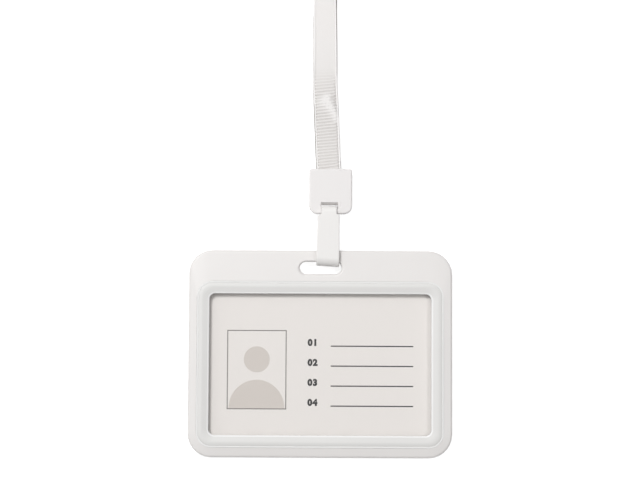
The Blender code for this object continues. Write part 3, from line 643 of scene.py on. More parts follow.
class CARDHOLDER_OT_shell(bpy.types.Operator):
    """Make the front shell and the sliding rear cover"""

    bl_idname = "card_holder.shell"
    bl_label = "Front shell and rear cover"

    def execute(self, context):
        own = settings()
        abs_plastic = moulded_plastic(
            "satin_white_abs", own.finish.shell_colour, roughness=0.4, grain_mm=0.45, grain_depth_mm=0.006,
        )
        bevel = own.holder.edge_bevel
        show_node(
            "front_shell", "shell_moulding", abs_plastic, "holder", "white_abs", bevel,
            rim_z=SHELL_HIGH.z, rim_bevel=own.holder.pocket_bevel,
        )
        show_node("rear_cover", "rear_cover_moulding", abs_plastic, "cover", "white_abs", bevel)
        return {"FINISHED"}


def bezel_rings():
    """The window frame's outlines with their heights, and how much painted highlight each of them gets.

    They go from the window's edge up, outwards over the face and down to the pocket.
    """
    holder = settings().holder
    modelled_gap = 0.3 * MILLIMETRE
    crest_drop = 0.5 * MILLIMETRE
    inner_radius = 0.45 * MILLIMETRE
    inner_turn = 75
    slope_power = 1.15
    outer_round = 1.3 * MILLIMETRE
    outer_rise = 0.22 * MILLIMETRE
    rim = 0.7 * MILLIMETRE
    crease = 0.08 * MILLIMETRE
    pocket_depth = 1.0 * MILLIMETRE
    spigot = 1.2 * MILLIMETRE
    # Shares of the painted highlight on the window's edge and on the outer bead
    inner_highlight, rim_highlight = 0.8, 0.4
    steps = 8
    width = CARD_LOW.x + holder.window_lip_x - BEZEL_LOW.x + modelled_gap - holder.frame_gap
    seat = BEZEL_LOW.z
    top = BEZEL_HIGH.z - crest_drop
    pocket = top - pocket_depth
    shoulder = width - rim
    crest = shoulder - outer_round
    rim_top = top - outer_rise
    rings, highlight_share = [], []

    def add_ring(margin, corner, height, highlight=0.0):
        rings.append((window_outline(margin, corner), height))
        highlight_share.append(highlight)

    add_ring(0.0, holder.window_corner, seat)
    for step in range(steps + 1):
        angle = math.radians(inner_turn * step / steps)
        inset = inner_radius * (1 - math.cos(angle))
        height = top - holder.bezel_drop - inner_radius * (1 - math.sin(angle))
        add_ring(inset, holder.window_corner + inset, height, inner_highlight if step else 0.0)
    for step in range(1, steps):
        share = step / steps
        inset = inner_radius + (crest - inner_radius) * share
        height = top - holder.bezel_drop * (1 - share) ** slope_power
        add_ring(inset, holder.window_corner + inset, height)
    for step in range(steps + 1):
        share = step / steps
        inset = outer_round * (1 - share)
        add_ring(shoulder - inset, holder.bezel_corner - rim - inset, top - outer_rise * share * share)
    for margin, height, highlight in (
        (shoulder + crease, rim_top - crease, 0.0),
        (shoulder + 2 * crease, rim_top, rim_highlight),
        (width - crease, rim_top, rim_highlight),
        (width, rim_top - crease, 0.0),
    ):
        add_ring(margin, holder.bezel_corner - width + margin, height, highlight)
    add_ring(width, holder.bezel_corner, pocket)
    add_ring(spigot, holder.window_corner + spigot, pocket)
    add_ring(spigot, holder.window_corner + spigot, seat)
    return rings, highlight_share


class CARDHOLDER_OT_bezel(bpy.types.Operator):
    """Make the raised frame round the window"""

    bl_idname = "card_holder.bezel"
    bl_label = "Window frame"

    def execute(self, context):
        own = settings().finish
        matt = moulded_plastic(
            "fine_matt_abs", own.bezel_colour, roughness=0.5, grain_mm=0.22, grain_depth_mm=0.01,
        )
        # The frame's inner edge and outer bead get a painted highlight
        paint_edge_highlights(matt, own.edge_highlight_colour)
        rings, highlight_share = bezel_rings()
        bezel = loft("window_frame", rings[::-1], matt, closed=True)
        per_point = [highlight for highlight in highlight_share[::-1] for _ in rings[0][0]]
        add_attribute(bezel.data, "edge", "FLOAT", per_point)
        finish_piece(smooth_edges(bezel), "holder", "frame_abs", "window_bezel")
        return {"FINISHED"}


class CARDHOLDER_OT_window(bpy.types.Operator):
    """Make the clear sheet behind the window frame"""

    bl_idname = "card_holder.window"
    bl_label = "Clear sheet"

    def execute(self, context):
        show_node("clear_window", "window_sheet", clear_sheet(), "holder", "clear_sheet")
        return {"FINISHED"}


def flat_print(name, loops, finish):
    """Ink in flat shapes on the card: each loop of points becomes one thin solid."""
    low = CARD_HIGH.z
    high = low + settings().holder.print_height
    work = bmesh.new()
    for loop in loops:
        bottom, top = ([work.verts.new((x, y, z)) for x, y in loop] for z in (low, high))
        work.faces.new(bottom[::-1])
        work.faces.new(top)
        for step in range(len(loop)):
            after = (step + 1) % len(loop)
            work.faces.new((bottom[step], bottom[after], top[after], top[step]))
    mesh = bpy.data.meshes.new(name)
    work.to_mesh(mesh)
    work.free()
    return add_piece(name, mesh, finish)


def ruled_line_group():
    """Geometry nodes that repeat one ruled line down the card."""
    tree, inputs, names = node_group("ruled_lines", Count="Int", Pitch="Float", Ink="Material")
    step = add_node(tree, "ShaderNodeMath", {"operation": "MULTIPLY", 1: -1.0}, {0: inputs["Pitch"]})
    down = add_node(tree, "ShaderNodeCombineXYZ", {}, {"Y": step})
    places = add_node(tree, "GeometryNodeMeshLine", {}, {"Count": inputs["Count"], "Offset": down})
    copies = add_node(
        tree, "GeometryNodeInstanceOnPoints", {}, {"Points": places, "Instance": inputs["Geometry"]},
    )
    end_group(tree, copies, inputs["Ink"])
    return tree, names


def number_mesh(text, height, thickness):
    """The mesh of a plain number, its middle plane at the origin."""
    height_share = 0.73
    letters = bpy.data.curves.new("figure", "FONT")
    letters.body = text
    letters.size = height / height_share
    letters.offset = 0.21 * MILLIMETRE
    letters.space_character = 1.2
    letters.extrude = thickness / 2
    letters.resolution_u = 6
    written = bpy.data.objects.new("figure", letters)
    bpy.context.scene.collection.objects.link(written)
    mesh = evaluated_mesh(written)
    bpy.data.objects.remove(written)
    return mesh


def card_sheet(stock):
    """The card itself, with edges that a blade has left faintly round."""
    edge = 0.08 * MILLIMETRE
    corner = settings().holder.card_corner

    def outline(inset):
        return box_outline(
            CARD_LOW.x + inset, CARD_HIGH.x - inset, CARD_LOW.y + inset, CARD_HIGH.y - inset,
            corner - inset,
        )

    levels = [
        (outline(edge), CARD_LOW.z),
        (outline(0.0), CARD_LOW.z + edge),
        (outline(0.0), CARD_HIGH.z - edge),
        (outline(edge), CARD_HIGH.z),
    ]
    return smooth_edges(loft("card_sheet", levels, stock))


def portrait_loops():
    """Outlines of the portrait box's four sides, and of the head and shoulders in it."""
    left, right = -34.0 * MILLIMETRE, -12.3 * MILLIMETRE
    low, high = -35.3 * MILLIMETRE, -6.4 * MILLIMETRE
    rule = 0.35 * MILLIMETRE
    sides = [
        bar(left, right, high - rule, high),
        bar(left, right, low, low + rule),
        bar(left, left + rule, low + rule, high - rule),
        bar(right - rule, right, low + rule, high - rule),
    ]
    middle = (left + right) / 2
    head_centre = (middle, -17.1 * MILLIMETRE)
    head_radius = 4.75 * MILLIMETRE
    head = arc(head_centre, head_radius, head_radius, 0, 2 * HALF_TURN, steps=48)[:-1]
    half_width, height = 10.2 * MILLIMETRE, 10.4 * MILLIMETRE
    shoulders = arc((middle, low + rule), half_width, height, 0, HALF_TURN, steps=40)
    return sides, [head, shoulders]


def ruled_lines(first_y, ruling, ink):
    """The lines to write on, repeated down the card from the first."""
    holder = settings().holder
    left, right = 3.85 * MILLIMETRE, 33.95 * MILLIMETRE
    first_line = bar(left, right, first_y - ruling / 2, first_y + ruling / 2)
    lines = flat_print("ruled_lines", [first_line], ink)
    tree, names = ruled_line_group()
    grow(lines, tree, names, {"Count": holder.ruled_lines, "Pitch": holder.line_pitch, "Ink": ink})
    return lines


class CARDHOLDER_OT_card(bpy.types.Operator):
    """Make the card and its print"""

    bl_idname = "card_holder.card"
    bl_label = "Card"

    def execute(self, context):
        holder = settings().holder
        own = settings().finish
        stock = paper_or_ink("uncoated_card_stock", own.card_colour, mottle=0.05, roughness=0.62)
        grey = paper_or_ink("grey_offset_ink", own.outline_colour, mottle=0.08, roughness=0.5)
        pale = paper_or_ink("pale_offset_ink", own.figure_colour, mottle=0.05, roughness=0.55)
        line_ink = paper_or_ink("ruling_ink", own.line_colour, mottle=0.08, roughness=0.5)
        black = paper_or_ink("black_offset_ink", own.text_colour, mottle=0.1, roughness=0.45)
        finish_piece(card_sheet(stock), "cover", "printed_card", "insert_card")
        sides, figure = portrait_loops()
        finish_piece(flat_print("portrait_outline", sides, grey), "cover", "printed_card")
        finish_piece(flat_print("portrait_figure", figure, pale), "cover", "printed_card")
        first_y = -12.16 * MILLIMETRE
        ruling = 0.44 * MILLIMETRE
        number_left = -4.5 * MILLIMETRE
        finish_piece(ruled_lines(first_y, ruling, line_ink), "cover", "printed_card")
        for number in range(holder.ruled_lines):
            mesh = number_mesh(f"{number + 1:02d}", holder.figure_height, holder.print_height)
            y = first_y - holder.line_pitch * number + ruling / 2
            z = CARD_HIGH.z + holder.print_height / 2
            mesh.transform(Matrix.Translation((number_left, y, z)))
            finish_piece(add_piece(f"line_number_{number + 1}", mesh, black), "cover", "printed_card")
        return {"FINISHED"}


# Strap, snap and connector


def strap_profile(thickness):
    """Cross-section of the strap: flat faces and round edges, as shares of the half width."""
    half = thickness / 2
    round_edge = [(0.9, 1.0), (0.965, 0.86), (0.99, 0.5)]
    shares = [(share, -rise) for share, rise in round_edge] + [(1.0, 0.0)] + round_edge[::-1]
    right = [(share, half * rise) for share, rise in shares]
    return right + [(-share, -height) for share, height in right]


def station(y, z, normal, half_width, x=BAND_X):
    """One station of the strap, whose width runs level."""
    return (Vector((x, y, z)), Vector((1, 0, 0)), normal, half_width)


def strap_bend(place, radius, start, half_width, steps=28):
    """Stations round half a turn about an X axis, angles from +Y towards +Z."""
    stations = []
    for step in range(steps + 1):
        angle = math.radians(start + HALF_TURN * step / steps)
        normal = Vector((0, math.cos(angle), math.sin(angle)))
        stations.append((place + normal * radius, Vector((1, 0, 0)), normal, half_width))
    return stations


def strap_taper(from_y, to_y, z, normal, start, end, steps=6):
    """Stations that pass smoothly from one middle and half width to another."""
    stations = []
    for step in range(steps + 1):
        share = step / steps
        eased = share * share * (3 - 2 * share)
        x, half_width = (first + (last - first) * eased for first, last in zip(start, end))
        stations.append(station(from_y + (to_y - from_y) * share, z, normal, half_width, x))
    return stations


def band_stations(back_z, front_z, fold_y):
    """Stations from the inner end up the back, over the bar, down the front and round the bridge."""
    own = settings().lanyard
    inner_gap = 0.3 * MILLIMETRE
    slack = 0.35 * MILLIMETRE
    past_shell = 1.8 * MILLIMETRE
    end_share = 0.9
    end_taper = 0.4 * MILLIMETRE
    neck_taper = 1.0 * MILLIMETRE
    back_reach = 2.6 * MILLIMETRE
    front_reach = 0.6 * MILLIMETRE
    spread = 0.2 * MILLIMETRE
    slant = math.radians(3.6)
    middle = own.strap_thickness / 2
    at_band = (BAND_X, BAND_HALF_WIDTH)
    at_neck = (NECK_X, own.strap_neck / 2)
    up = Vector((0, 0, 1))
    inner_z = TAIL_HIGH.z + middle + inner_gap
    low_radius = (front_z - back_z) / 2
    low_bend = Vector((BAND_X, BAND_LOW.y + middle + low_radius, back_z + low_radius))
    high_radius = (front_z - inner_z) / 2
    high_bend = Vector((NECK_X, BAND_HIGH.y - slack - middle - high_radius, inner_z + high_radius))
    inner_end = SHELL_HIGH.y + past_shell
    back_neck = high_bend.y - back_reach
    front_neck = high_bend.y - front_reach

    def hang(place, across, normal, half_width):
        """The front widens and slants towards the slot, and the back doesn't."""
        forward = clamp(2 * (place.z - back_z) / (front_z - back_z))
        down = forward * clamp((front_neck - place.y) / (front_neck - low_bend.y))
        shift = Vector((-spread * down, -BAND_HALF_WIDTH * math.sin(slant) * down, 0))
        turned = Matrix.Rotation(-slant * down, 3, "Z") @ across
        return (place + shift, turned, normal, half_width + spread * down)

    stations = [
        station(inner_end, inner_z, -up, BAND_HALF_WIDTH * end_share),
        station(inner_end + end_taper, inner_z, -up, BAND_HALF_WIDTH),
    ]
    stations += strap_taper(back_neck - neck_taper, back_neck, inner_z, -up, at_band, at_neck)
    stations += strap_bend(high_bend, high_radius, -HALF_TURN / 2, own.strap_neck / 2)
    front = strap_taper(front_neck, front_neck - neck_taper, front_z, up, at_neck, at_band)
    front += strap_bend(low_bend, low_radius, HALF_TURN / 2, BAND_HALF_WIDTH)
    stations += [hang(*one) for one in front]
    return stations + [station(fold_y, back_z, -up, BAND_HALF_WIDTH)]


def flap_stations(fold_y, tip_y, z):
    """Stations from the fold at the slot up the strap's back to its round tip."""
    tip_radius = 2.6 * MILLIMETRE
    tip_turn = 88
    run_steps = 24
    tip_steps = 10
    down = Vector((0, 0, -1))
    stations = []
    for step in range(run_steps + 1):
        y = fold_y + (tip_y - tip_radius - fold_y) * step / run_steps
        stations.append(station(y, z, down, BAND_HALF_WIDTH))
    for step in range(1, tip_steps + 1):
        angle = math.radians(tip_turn * step / tip_steps)
        half_width = BAND_HALF_WIDTH - tip_radius * (1 - math.cos(angle))
        stations.append(station(tip_y - tip_radius * (1 - math.sin(angle)), z, down, half_width))
    return stations


class CARDHOLDER_OT_strap(bpy.types.Operator):
    """Make the vinyl strap and its free end"""

    bl_idname = "card_holder.strap"
    bl_label = "Strap"

    def execute(self, context):
        vinyl = extruded_vinyl()
        thickness = settings().lanyard.strap_thickness
        profile = strap_profile(thickness)
        back_z = BAND_LOW.z + thickness / 2
        front_z = BAND_HIGH.z - thickness / 2
        fold_reach = 2.3 * MILLIMETRE
        fold_y = BAND_LOW.y + thickness / 2 + (front_z - back_z) / 2 + fold_reach
        stations = band_stations(back_z, front_z, fold_y)
        band = smooth_edges(sweep("strap_loop", stations, profile, vinyl), angle_degrees=50)
        finish_piece(band, "strap", "white_vinyl", "strap_band")

        stations = flap_stations(fold_y, TAIL_HIGH.y, back_z)
        tail = smooth_edges(sweep("strap_flap", stations, profile, vinyl), angle_degrees=50)
        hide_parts("strap_tail")
        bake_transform(tail)
        return {"FINISHED"}


class CARDHOLDER_OT_snap(bpy.types.Operator):
    """Make the snap's cap and socket"""

    bl_idname = "card_holder.snap"
    bl_label = "Snap"

    def execute(self, context):
        colour = settings().finish.connector_colour
        nylon = moulded_plastic("snap_nylon", colour, roughness=0.36, grain_mm=0.3, grain_depth_mm=0.004)
        show_node("snap_cap", "snap_cap_moulding", nylon, "strap_end", "white_nylon")
        show_node("snap_socket", "snap_socket_moulding", nylon, "strap", "white_nylon")
        return {"FINISHED"}


def eye_lip(finish):
    """The eye's slanting upper wall, which the strap turns under, and its right wall."""
    left = CONNECTOR_LOW.x + 4.3 * MILLIMETRE
    right = left + 7.2 * MILLIMETRE
    high = CONNECTOR_LOW.y + 5.2 * MILLIMETRE
    low = high - 3.6 * MILLIMETRE
    front = CONNECTOR_HIGH.z - 0.02 * MILLIMETRE
    back = front - 2.1 * MILLIMETRE

    def outline(upper_depth, right_depth):
        wall = right - right_depth * MILLIMETRE
        foot = high - upper_depth * MILLIMETRE
        return [(left, high), (left, foot), (wall, foot), (wall, low), (right, low), (right, high)]

    return loft("eye_lip", [(outline(1.8, 1.15), back), (outline(0.9, 0.8), front)], finish)


class CARDHOLDER_OT_connector(bpy.types.Operator):
    """Make the connector, its lid and the crimp on the webbing's ends"""

    bl_idname = "card_holder.connector"
    bl_label = "Connector"

    def execute(self, context):
        own = settings()
        nylon = moulded_plastic(
            "connector_nylon", own.finish.connector_colour, roughness=0.38, grain_mm=0.35,
            grain_depth_mm=0.005,
        )
        steel = plated_steel()
        front_bevel = 0.3 * MILLIMETRE
        lid_bevel = own.holder.edge_bevel
        crimp_bevel = 0.05 * MILLIMETRE
        show_node("connector_front", "connector_moulding", nylon, "lanyard", "white_nylon", front_bevel)
        finish_piece(eye_lip(nylon), "lanyard", "white_nylon")
        show_node("connector_back", "connector_lid", nylon, "lanyard", "white_nylon", lid_bevel)
        show_node("webbing_crimp", "crimp_band", steel, "lanyard", "plated_steel", crimp_bevel)
        return {"FINISHED"}


# Webbing


def smooth_route(route, steps):
    """Points of a smooth curve through a route, each with its roll."""
    found = []
    rows = [Vector(row) for row in (route[0], *route, route[-1])]
    for before, start, end, after in zip(rows, rows[1:], rows[2:], rows[3:]):
        for step in range(steps):
            share = step / steps
            once = (end - before) * share
            twice = (2 * before - 5 * start + 4 * end - after) * share**2
            thrice = (3 * start - before - 3 * end + after) * share**3
            found.append(0.5 * (2 * start + once + twice + thrice))
    return found + [rows[-1]]


def coil_arm(start_radius, turns):
    """Points of one arm of the coil, from outside in, counter-clockwise."""
    steps = max(int(round(turns * COIL_STEPS_PER_TURN)), 1)
    points = []
    for step in range(steps + 1):
        share = step / steps
        angle = math.radians(COIL_START_DEGREES + 2 * HALF_TURN * turns * share)
        radius = start_radius - 2 * COIL_PITCH * turns * share
        points.append((radius * math.cos(angle), radius * math.sin(angle)))
    return points


def half_turn(points):
    """Points from the inner end of an arm almost to the coil's centre, on a half circle."""
    spoke = Vector(points[-1]) / 2
    steps = COIL_STEPS_PER_TURN // 2
    return [tuple(spoke + Matrix.Rotation(math.pi * step / steps, 2) @ spoke) for step in range(1, steps)]


def webbing_rows():
    """The whole webbing: up the front leg, round the coil and back down the back leg."""
    outer_radius = COIL_INNER_RADIUS + 2 * COIL_PITCH * COIL_OUTER_TURNS
    outer = coil_arm(outer_radius, COIL_OUTER_TURNS)
    inner = coil_arm(outer_radius - COIL_PITCH, COIL_OUTER_TURNS - 0.5)
    line = inner + half_turn(inner) + [(0.0, 0.0)] + half_turn(outer)[::-1] + outer[::-1]
    height = settings().lanyard.webbing_width / 2
    rows = smooth_route(FRONT_LEG_ROUTE, LEG_STEPS_PER_SPAN)
    rows += [Vector((COIL_CENTRE[0] + x, COIL_CENTRE[1] + y, height, ON_EDGE)) for x, y in line]
    for row in reversed(smooth_route(BACK_LEG_ROUTE, LEG_STEPS_PER_SPAN)):
        rows.append(Vector((*row.xyz, -HALF_TURN - row.w)))
    return rows


def even_rows(rows, pitch):
    """The same line with a row at each pitch along it, and its length."""
    runs = [0.0]
    for before, after in zip(rows, rows[1:]):
        runs.append(runs[-1] + (after.xyz - before.xyz).length)
    count = int(round(runs[-1] / pitch))
    found = []
    index = 0
    for step in range(count + 1):
        run = runs[-1] * step / count
        while index < len(rows) - 2 and runs[index + 1] < run:
            index += 1
        share = (run - runs[index]) / max(runs[index + 1] - runs[index], 1e-9)
        found.append(rows[index].lerp(rows[index + 1], clamp(share)))
    return found, runs[-1]


def webbing_stations(rows, half_width):
    """Place, width direction, face normal and half width along the webbing."""
    stations = []
    for before, row, after in zip(rows[:1] + rows, rows, rows[1:] + rows[-1:]):
        along = (after.xyz - before.xyz).normalized()
        level = along.cross(Vector((0, 0, 1))).normalized()
        across = Matrix.Rotation(math.radians(row.w), 3, along) @ level
        stations.append((row.xyz, across, along.cross(across), half_width))
    return stations


def rib_rises(count):
    """Share of the full height of each rib: whole near the webbing's ends, flat elsewhere."""
    own = settings().lanyard
    fade_ribs = 8
    rises = []
    for number in range(count):
        run = min(number, count - 1 - number) * own.rib_pitch
        fade = clamp((run - own.ribbed_length) / (fade_ribs * own.rib_pitch))
        rises.append(1.0 + (own.flat_rib - 1.0) * fade)
    return rises


def core_profile(edge_share, half):
    """Cross-section of the webbing's core: two plain selvedges and a lower floor under the ribs."""
    floor_rise = 0.68
    step_share = 0.02
    floor_step = 0.22
    side = [(1.0, 0.0), (0.99, 0.5), (0.965, 0.92), (0.935, 1.0), (edge_share + step_share, 1.0)]
    top = [(-share, half * rise) for share, rise in side]
    floor = [-edge_share, *(floor_step * step for step in range(-3, 4)), edge_share]
    top += [(share, half * floor_rise) for share in floor]
    top += [(share, half * rise) for share, rise in side[:0:-1]]
    return [(share, -height) for share, height in top] + [(-share, height) for share, height in top]


def rib_group():
    """Geometry nodes that lay one rib of the weave at every point of the webbing's line."""
    tree, inputs, names = node_group(
        "webbing_ribs", Length="Float", Width="Float", Height="Float", Sides="Int", Core="Object",
        Yarn="Material",
    )
    rod = add_node(
        tree, "GeometryNodeMeshCylinder", {"Side Segments": 9, "Radius": 0.5, "Depth": 1.0},
        {"Vertices": inputs["Sides"]},
    )
    size = {"X": inputs["Width"], "Y": inputs["Height"], "Z": inputs["Length"]}
    scale = add_node(tree, "ShaderNodeCombineXYZ", {}, size)
    rib = add_node(tree, "GeometryNodeTransform", {}, {"Geometry": rod, "Scale": scale})
    # A point's depth between the ribs grows from the crown to the flanks, and sets the painted shade
    # between the ribs
    place = add_node(tree, "GeometryNodeInputPosition")
    aside, _, run = add_node(tree, "ShaderNodeSeparateXYZ", {}, {0: place}).outputs
    beside = add_node(tree, "ShaderNodeMath", {"operation": "ABSOLUTE"}, {0: aside})
    flank = add_node(tree, "ShaderNodeMath", {"operation": "DIVIDE"}, {0: beside, 1: inputs["Width"]})
    depth = add_node(tree, "ShaderNodeMapRange", {"From Min": 0.18, "From Max": 0.5}, {"Value": flank})
    weave = add_node(tree, "ShaderNodeCombineXYZ", {}, {"X": run, "Z": depth})
    marked = add_node(
        tree, "GeometryNodeStoreNamedAttribute",
        {"data_type": "FLOAT_VECTOR", "domain": "POINT", "Name": "weave"},
        {"Geometry": rib, "Value": weave},
    )
    smooth = add_node(tree, "GeometryNodeSetShadeSmooth", {}, {"Geometry": marked})
    across, along, rise = (
        add_node(tree, "GeometryNodeInputNamedAttribute", {"data_type": kind, "Name": name})
        for kind, name in (("FLOAT_VECTOR", "across"), ("FLOAT_VECTOR", "along"), ("FLOAT", "rise"))
    )
    facing = add_node(
        tree, "FunctionNodeAxesToRotation", {"primary_axis": "Z", "secondary_axis": "X"},
        {"Primary Axis": across.outputs["Attribute"], "Secondary Axis": along.outputs["Attribute"]},
    )
    stretch = add_node(
        tree, "ShaderNodeCombineXYZ", {"X": 1.0, "Z": 1.0}, {"Y": rise.outputs["Attribute"]},
    )
    copies = add_node(
        tree, "GeometryNodeInstanceOnPoints", {},
        {"Points": inputs["Geometry"], "Instance": smooth, "Rotation": facing, "Scale": stretch},
    )
    core = add_node(tree, "GeometryNodeObjectInfo", {}, {"Object": inputs["Core"]})
    both = add_node(tree, "GeometryNodeJoinGeometry", {}, {0: copies})
    set_node(both, {}, {0: core.outputs["Geometry"]})
    end_group(tree, both, inputs["Yarn"])
    return tree, names


def hump(distance, width):
    """A smooth rise: 1 in its middle, and fading over its width."""
    return math.exp(-((distance / width) ** 2))


def press_crease(mesh, half_thickness):
    """Press a short slanting fold into the front leg: its ribs flatten, with a hollow beside it, and the
    fold gets a painted highlight.

    Runs along the fold and distances beside it are in millimetres.
    """
    start = Vector((2.8, 79.2))
    end = Vector((6.3, 71.8))
    reach = 6.0
    start_fade, end_fade = 1.7, 1.0
    # pale is the share of the painted highlight on the fold
    firmness, pale = 1.8, 0.42
    upper_spread, lower_spread, narrowing = 0.5, 3.4, 1.8
    ridge_width, ridge_height = 0.9, 0.35
    hollow_place, hollow_width, hollow_depth = 1.9, 1.1, 0.45
    hollow_start, hollow_rise = -0.5, 1.5
    along = (end - start).normalized()
    beside = Vector((-along.y, along.x))
    length = (end - start).length
    narrowed_at = length * 2 / 3
    centre_z = FRONT_LEG_ROUTE[6][2]
    lowest = centre_z - 1.5 * half_thickness
    weave = mesh.attributes["weave"].data
    for vertex in mesh.vertices:
        offset = vertex.co.xy / MILLIMETRE - start
        run = offset.dot(along)
        side = offset.dot(beside)
        if abs(side) > reach or vertex.co.z < lowest:
            continue
        window = hump(min(run, 0.0), start_fade) * hump(max(run - length, 0.0), end_fade)
        spread = upper_spread if side > 0 else lower_spread - narrowing * clamp(run / narrowed_at)
        flat = min(firmness * window * hump(side, spread), 1.0)
        ridge = window * hump(side, ridge_width)
        hollow = window * hump(side - hollow_place, hollow_width)
        hollow *= clamp((run - hollow_start) / hollow_rise)
        if vertex.co.z > centre_z:
            vertex.co.z += flat * (centre_z + half_thickness - vertex.co.z)
        vertex.co.z += (ridge_height * ridge - hollow_depth * hollow) * MILLIMETRE
        # The fold takes the painted highlight, and loses the painted shade between its flattened ribs
        thread = weave[vertex.index].vector
        weave[vertex.index].vector = (thread.x, max(thread.y, pale * flat), thread.z * (1 - flat))


def webbing_core(stations, rises, yarn):
    """The webbing's core strip, whose points know their place in the weave and their ribs' height."""
    own = settings().lanyard
    side_share = 0.96
    edge_share = 1 - 2 * own.selvedge / own.webbing_width
    profile = core_profile(edge_share, own.webbing_thickness / 2)
    core = sweep("webbing_core", stations, profile, yarn)
    core.data.shade_smooth()
    weave = []
    for share, _ in profile:
        # Points of the floor under the ribs take the painted shade between the ribs
        groove_shade = 1.0 if abs(share) <= edge_share else 0.0
        # The outer side is marked -1 for painted shade, the selvedge 1 for a painted highlight
        plain = -1.0 if abs(share) > side_share else 1.0 - groove_shade
        weave.append((share * own.webbing_width / 2, plain, groove_shade))
    add_attribute(core.data, "weave", "FLOAT_VECTOR", weave * len(stations))
    add_attribute(core.data, "rise", "FLOAT", [rise for rise in rises for _ in profile])
    return core


def rib_line(stations, rises, yarn):
    """A line with a point for each rib, which knows how the rib lies and its height."""
    line = bpy.data.meshes.new("webbing")
    line.from_pydata([place for place, _, _, _ in stations], [], [])
    across_ribs, along_ribs = [], []
    for _, across, normal, _ in stations:
        lean = Matrix.Rotation(settings().lanyard.rib_lean, 3, normal)
        across_ribs.append(lean @ across)
        along_ribs.append(lean @ normal.cross(across))
    add_attribute(line, "across", "FLOAT_VECTOR", across_ribs)
    add_attribute(line, "along", "FLOAT_VECTOR", along_ribs)
    add_attribute(line, "rise", "FLOAT", rises)
    return add_piece("webbing", line, yarn)


class CARDHOLDER_OT_webbing(bpy.types.Operator):
    """Make the ribbed webbing of the neck loop"""

    bl_idname = "card_holder.webbing"
    bl_label = "Webbing"

    def execute(self, context):
        own = settings().lanyard
        yarn = woven_polyester()
        rib_overlap = 1.02
        rows, length = even_rows(webbing_rows(), own.rib_pitch)
        stations = webbing_stations(rows, own.webbing_width / 2)
        rises = rib_rises(len(stations))
        core = webbing_core(stations, rises, yarn)
        webbing = rib_line(stations[1:-1], rises[1:-1], yarn)
        tree, names = rib_group()
        values = {
            "Length": own.webbing_width - 2 * own.selvedge,
            "Width": own.rib_pitch * rib_overlap,
            "Height": own.webbing_thickness,
            "Sides": own.rib_sides,
            "Core": core,
            "Yarn": yarn,
        }
        grow(webbing, tree, names, values)
        bpy.data.objects.remove(core)
        press_crease(webbing.data, own.webbing_thickness / 2)
        finish_piece(
            webbing, "lanyard", "white_polyester", "webbing_front_leg", "webbing_back_leg", "webbing_coil"
        )
        return {"FINISHED"}


# Stage


def studio_paper(glow_share):
    """Matt white background paper: the eye sees plain white, and the object's shadow on it."""
    made, tree, shader = new_material("white_background_paper")
    fibres = surface_pattern(tree, 2, detail=3.0)
    shade = add_node(
        tree, "ShaderNodeMix", {"data_type": "RGBA", 6: linear("#dcdcdc"), 7: linear("#e0e0e0")},
        {0: fibres},
    )
    path = add_node(tree, "ShaderNodeLightPath").outputs
    seen = path["Is Camera Ray"]
    for ray in ("Is Glossy Ray", "Is Transmission Ray"):
        seen = add_node(tree, "ShaderNodeMath", {"operation": "MAXIMUM"}, {0: seen, 1: path[ray]})
    glow = add_node(tree, "ShaderNodeMath", {"operation": "MULTIPLY", 1: glow_share}, {0: seen})
    look = {"Roughness": 0.9, "Specular IOR Level": 0.0, "Emission Color": linear("#ffffff")}
    set_node(shader, look, {"Base Color": shade.outputs[2], "Emission Strength": glow})
    return made


def studio_sky(strength, lean):
    """White light from all round, brighter on the left, and plain white to the camera."""
    world = bpy.data.worlds.new("studio")
    world.use_nodes = True
    tree = world.node_tree
    towards = add_node(tree, "ShaderNodeTexCoord").outputs["Generated"]
    sides = add_node(tree, "ShaderNodeSeparateXYZ", {}, {0: towards})
    ends = {
        "From Min": -1.0, "From Max": 1.0, "To Min": strength * (1 + lean), "To Max": strength * (1 - lean),
    }
    lit = add_node(tree, "ShaderNodeMapRange", ends, {"Value": sides.outputs["X"]})
    seen = add_node(tree, "ShaderNodeLightPath").outputs["Is Camera Ray"]
    level = add_node(tree, "ShaderNodeMix", {"data_type": "FLOAT", 3: 1.0}, {0: seen, 2: lit})
    set_node(tree.nodes["Background"], {"Color": linear("#ffffff")}, {"Strength": level})
    return world


def add_lamp(name, place, target, size, power):
    """A square lamp that shines on the target."""
    lamp = bpy.data.lights.new(name, "AREA")
    lamp.shape = "SQUARE"
    lamp.size = size
    lamp.energy = power
    made = bpy.data.objects.new(name, lamp)
    made.location = place
    made.rotation_euler = (target - made.location).to_track_quat("-Z", "Y").to_euler()
    bpy.context.scene.collection.objects.link(made)


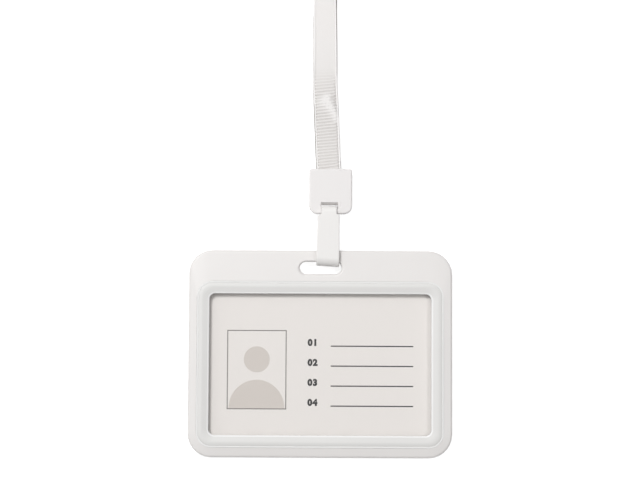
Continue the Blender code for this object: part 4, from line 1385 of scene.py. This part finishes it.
class CARDHOLDER_OT_stage(bpy.types.Operator):
    """Make the floor, the lamps and the camera"""

    bl_idname = "card_holder.stage"
    bl_label = "Studio"

    def execute(self, context):
        own = settings().stage
        scene = bpy.context.scene
        scene.view_settings.view_transform = "Standard"
        scene.world = studio_sky(own.sky_strength, own.sky_lean)

        side = 4.0
        level = -0.05 * MILLIMETRE
        floor = bpy.data.meshes.new("floor")
        floor.from_pydata([(x, y, level) for x, y in bar(-side, side, -side, side)], [], [(0, 1, 2, 3)])
        add_piece("floor", floor, studio_paper(own.floor_share))

        target = Vector(own.view_centre)
        add_lamp("key_lamp", own.key_place, target, own.key_size, own.key_power)
        add_lamp("fill_lamp", own.fill_place, target, own.fill_size, own.fill_power)

        lens = bpy.data.cameras.new("camera")
        lens.sensor_width = 36.0
        lens.lens = lens.sensor_width * PIXELS_PER_METRE * own.camera_distance / IMAGE_WIDTH_PIXELS
        lens.clip_start = 0.01
        lens.clip_end = 20.0
        camera = bpy.data.objects.new("camera", lens)
        back = Vector((0, -math.sin(own.camera_tilt), math.cos(own.camera_tilt)))
        camera.location = target + back * own.camera_distance
        facing = Matrix.Rotation(own.camera_tilt, 4, "X") @ Matrix.Rotation(own.camera_roll, 4, "Z")
        camera.rotation_euler = facing.to_euler()
        scene.collection.objects.link(camera)
        scene.camera = camera
        return {"FINISHED"}


class CARDHOLDER_PT_panel(bpy.types.Panel):
    """Lists the pieces of the card holder"""

    bl_label = "Card holder"
    bl_idname = "CARDHOLDER_PT_panel"
    bl_space_type = "VIEW_3D"
    bl_region_type = "UI"
    bl_category = "Card holder"

    def draw(self, context):
        own = context.scene.card_holder
        for group in (own.holder, own.lanyard, own.finish, own.stage):
            box = self.layout.box()
            for name in group.__annotations__:
                box.prop(group, name)
        for operator in OPERATORS:
            self.layout.operator(operator.bl_idname)


class CardHolderSettings(bpy.types.PropertyGroup):
    """All the settings."""

    holder: PointerProperty(type=HolderSettings, name="Holder", description="Frame and card")
    lanyard: PointerProperty(type=LanyardSettings, name="Lanyard", description="Strap and webbing")
    finish: PointerProperty(type=FinishSettings, name="Finish", description="Colours")
    stage: PointerProperty(type=StageSettings, name="Stage", description="Studio")


OPERATORS = (
    CARDHOLDER_OT_stage,
    CARDHOLDER_OT_webbing,
    CARDHOLDER_OT_connector,
    CARDHOLDER_OT_strap,
    CARDHOLDER_OT_snap,
    CARDHOLDER_OT_shell,
    CARDHOLDER_OT_bezel,
    CARDHOLDER_OT_window,
    CARDHOLDER_OT_card,
)
CLASSES = (
    HolderSettings,
    LanyardSettings,
    FinishSettings,
    StageSettings,
    CardHolderSettings,
    *OPERATORS,
    CARDHOLDER_PT_panel,
)


def register():
    for item in CLASSES:
        bpy.utils.register_class(item)
    bpy.types.Scene.card_holder = PointerProperty(type=CardHolderSettings)


def unregister():
    del bpy.types.Scene.card_holder
    for item in reversed(CLASSES):
        bpy.utils.unregister_class(item)


def main():
    """Make every piece in order."""
    register()
    bpy.ops.card_holder.stage()
    bpy.ops.card_holder.webbing()
    bpy.ops.card_holder.connector()
    bpy.ops.card_holder.strap()
    bpy.ops.card_holder.snap()
    bpy.ops.card_holder.shell()
    bpy.ops.card_holder.bezel()
    bpy.ops.card_holder.window()
    bpy.ops.card_holder.card()


if __name__ == "__main__":
    main()
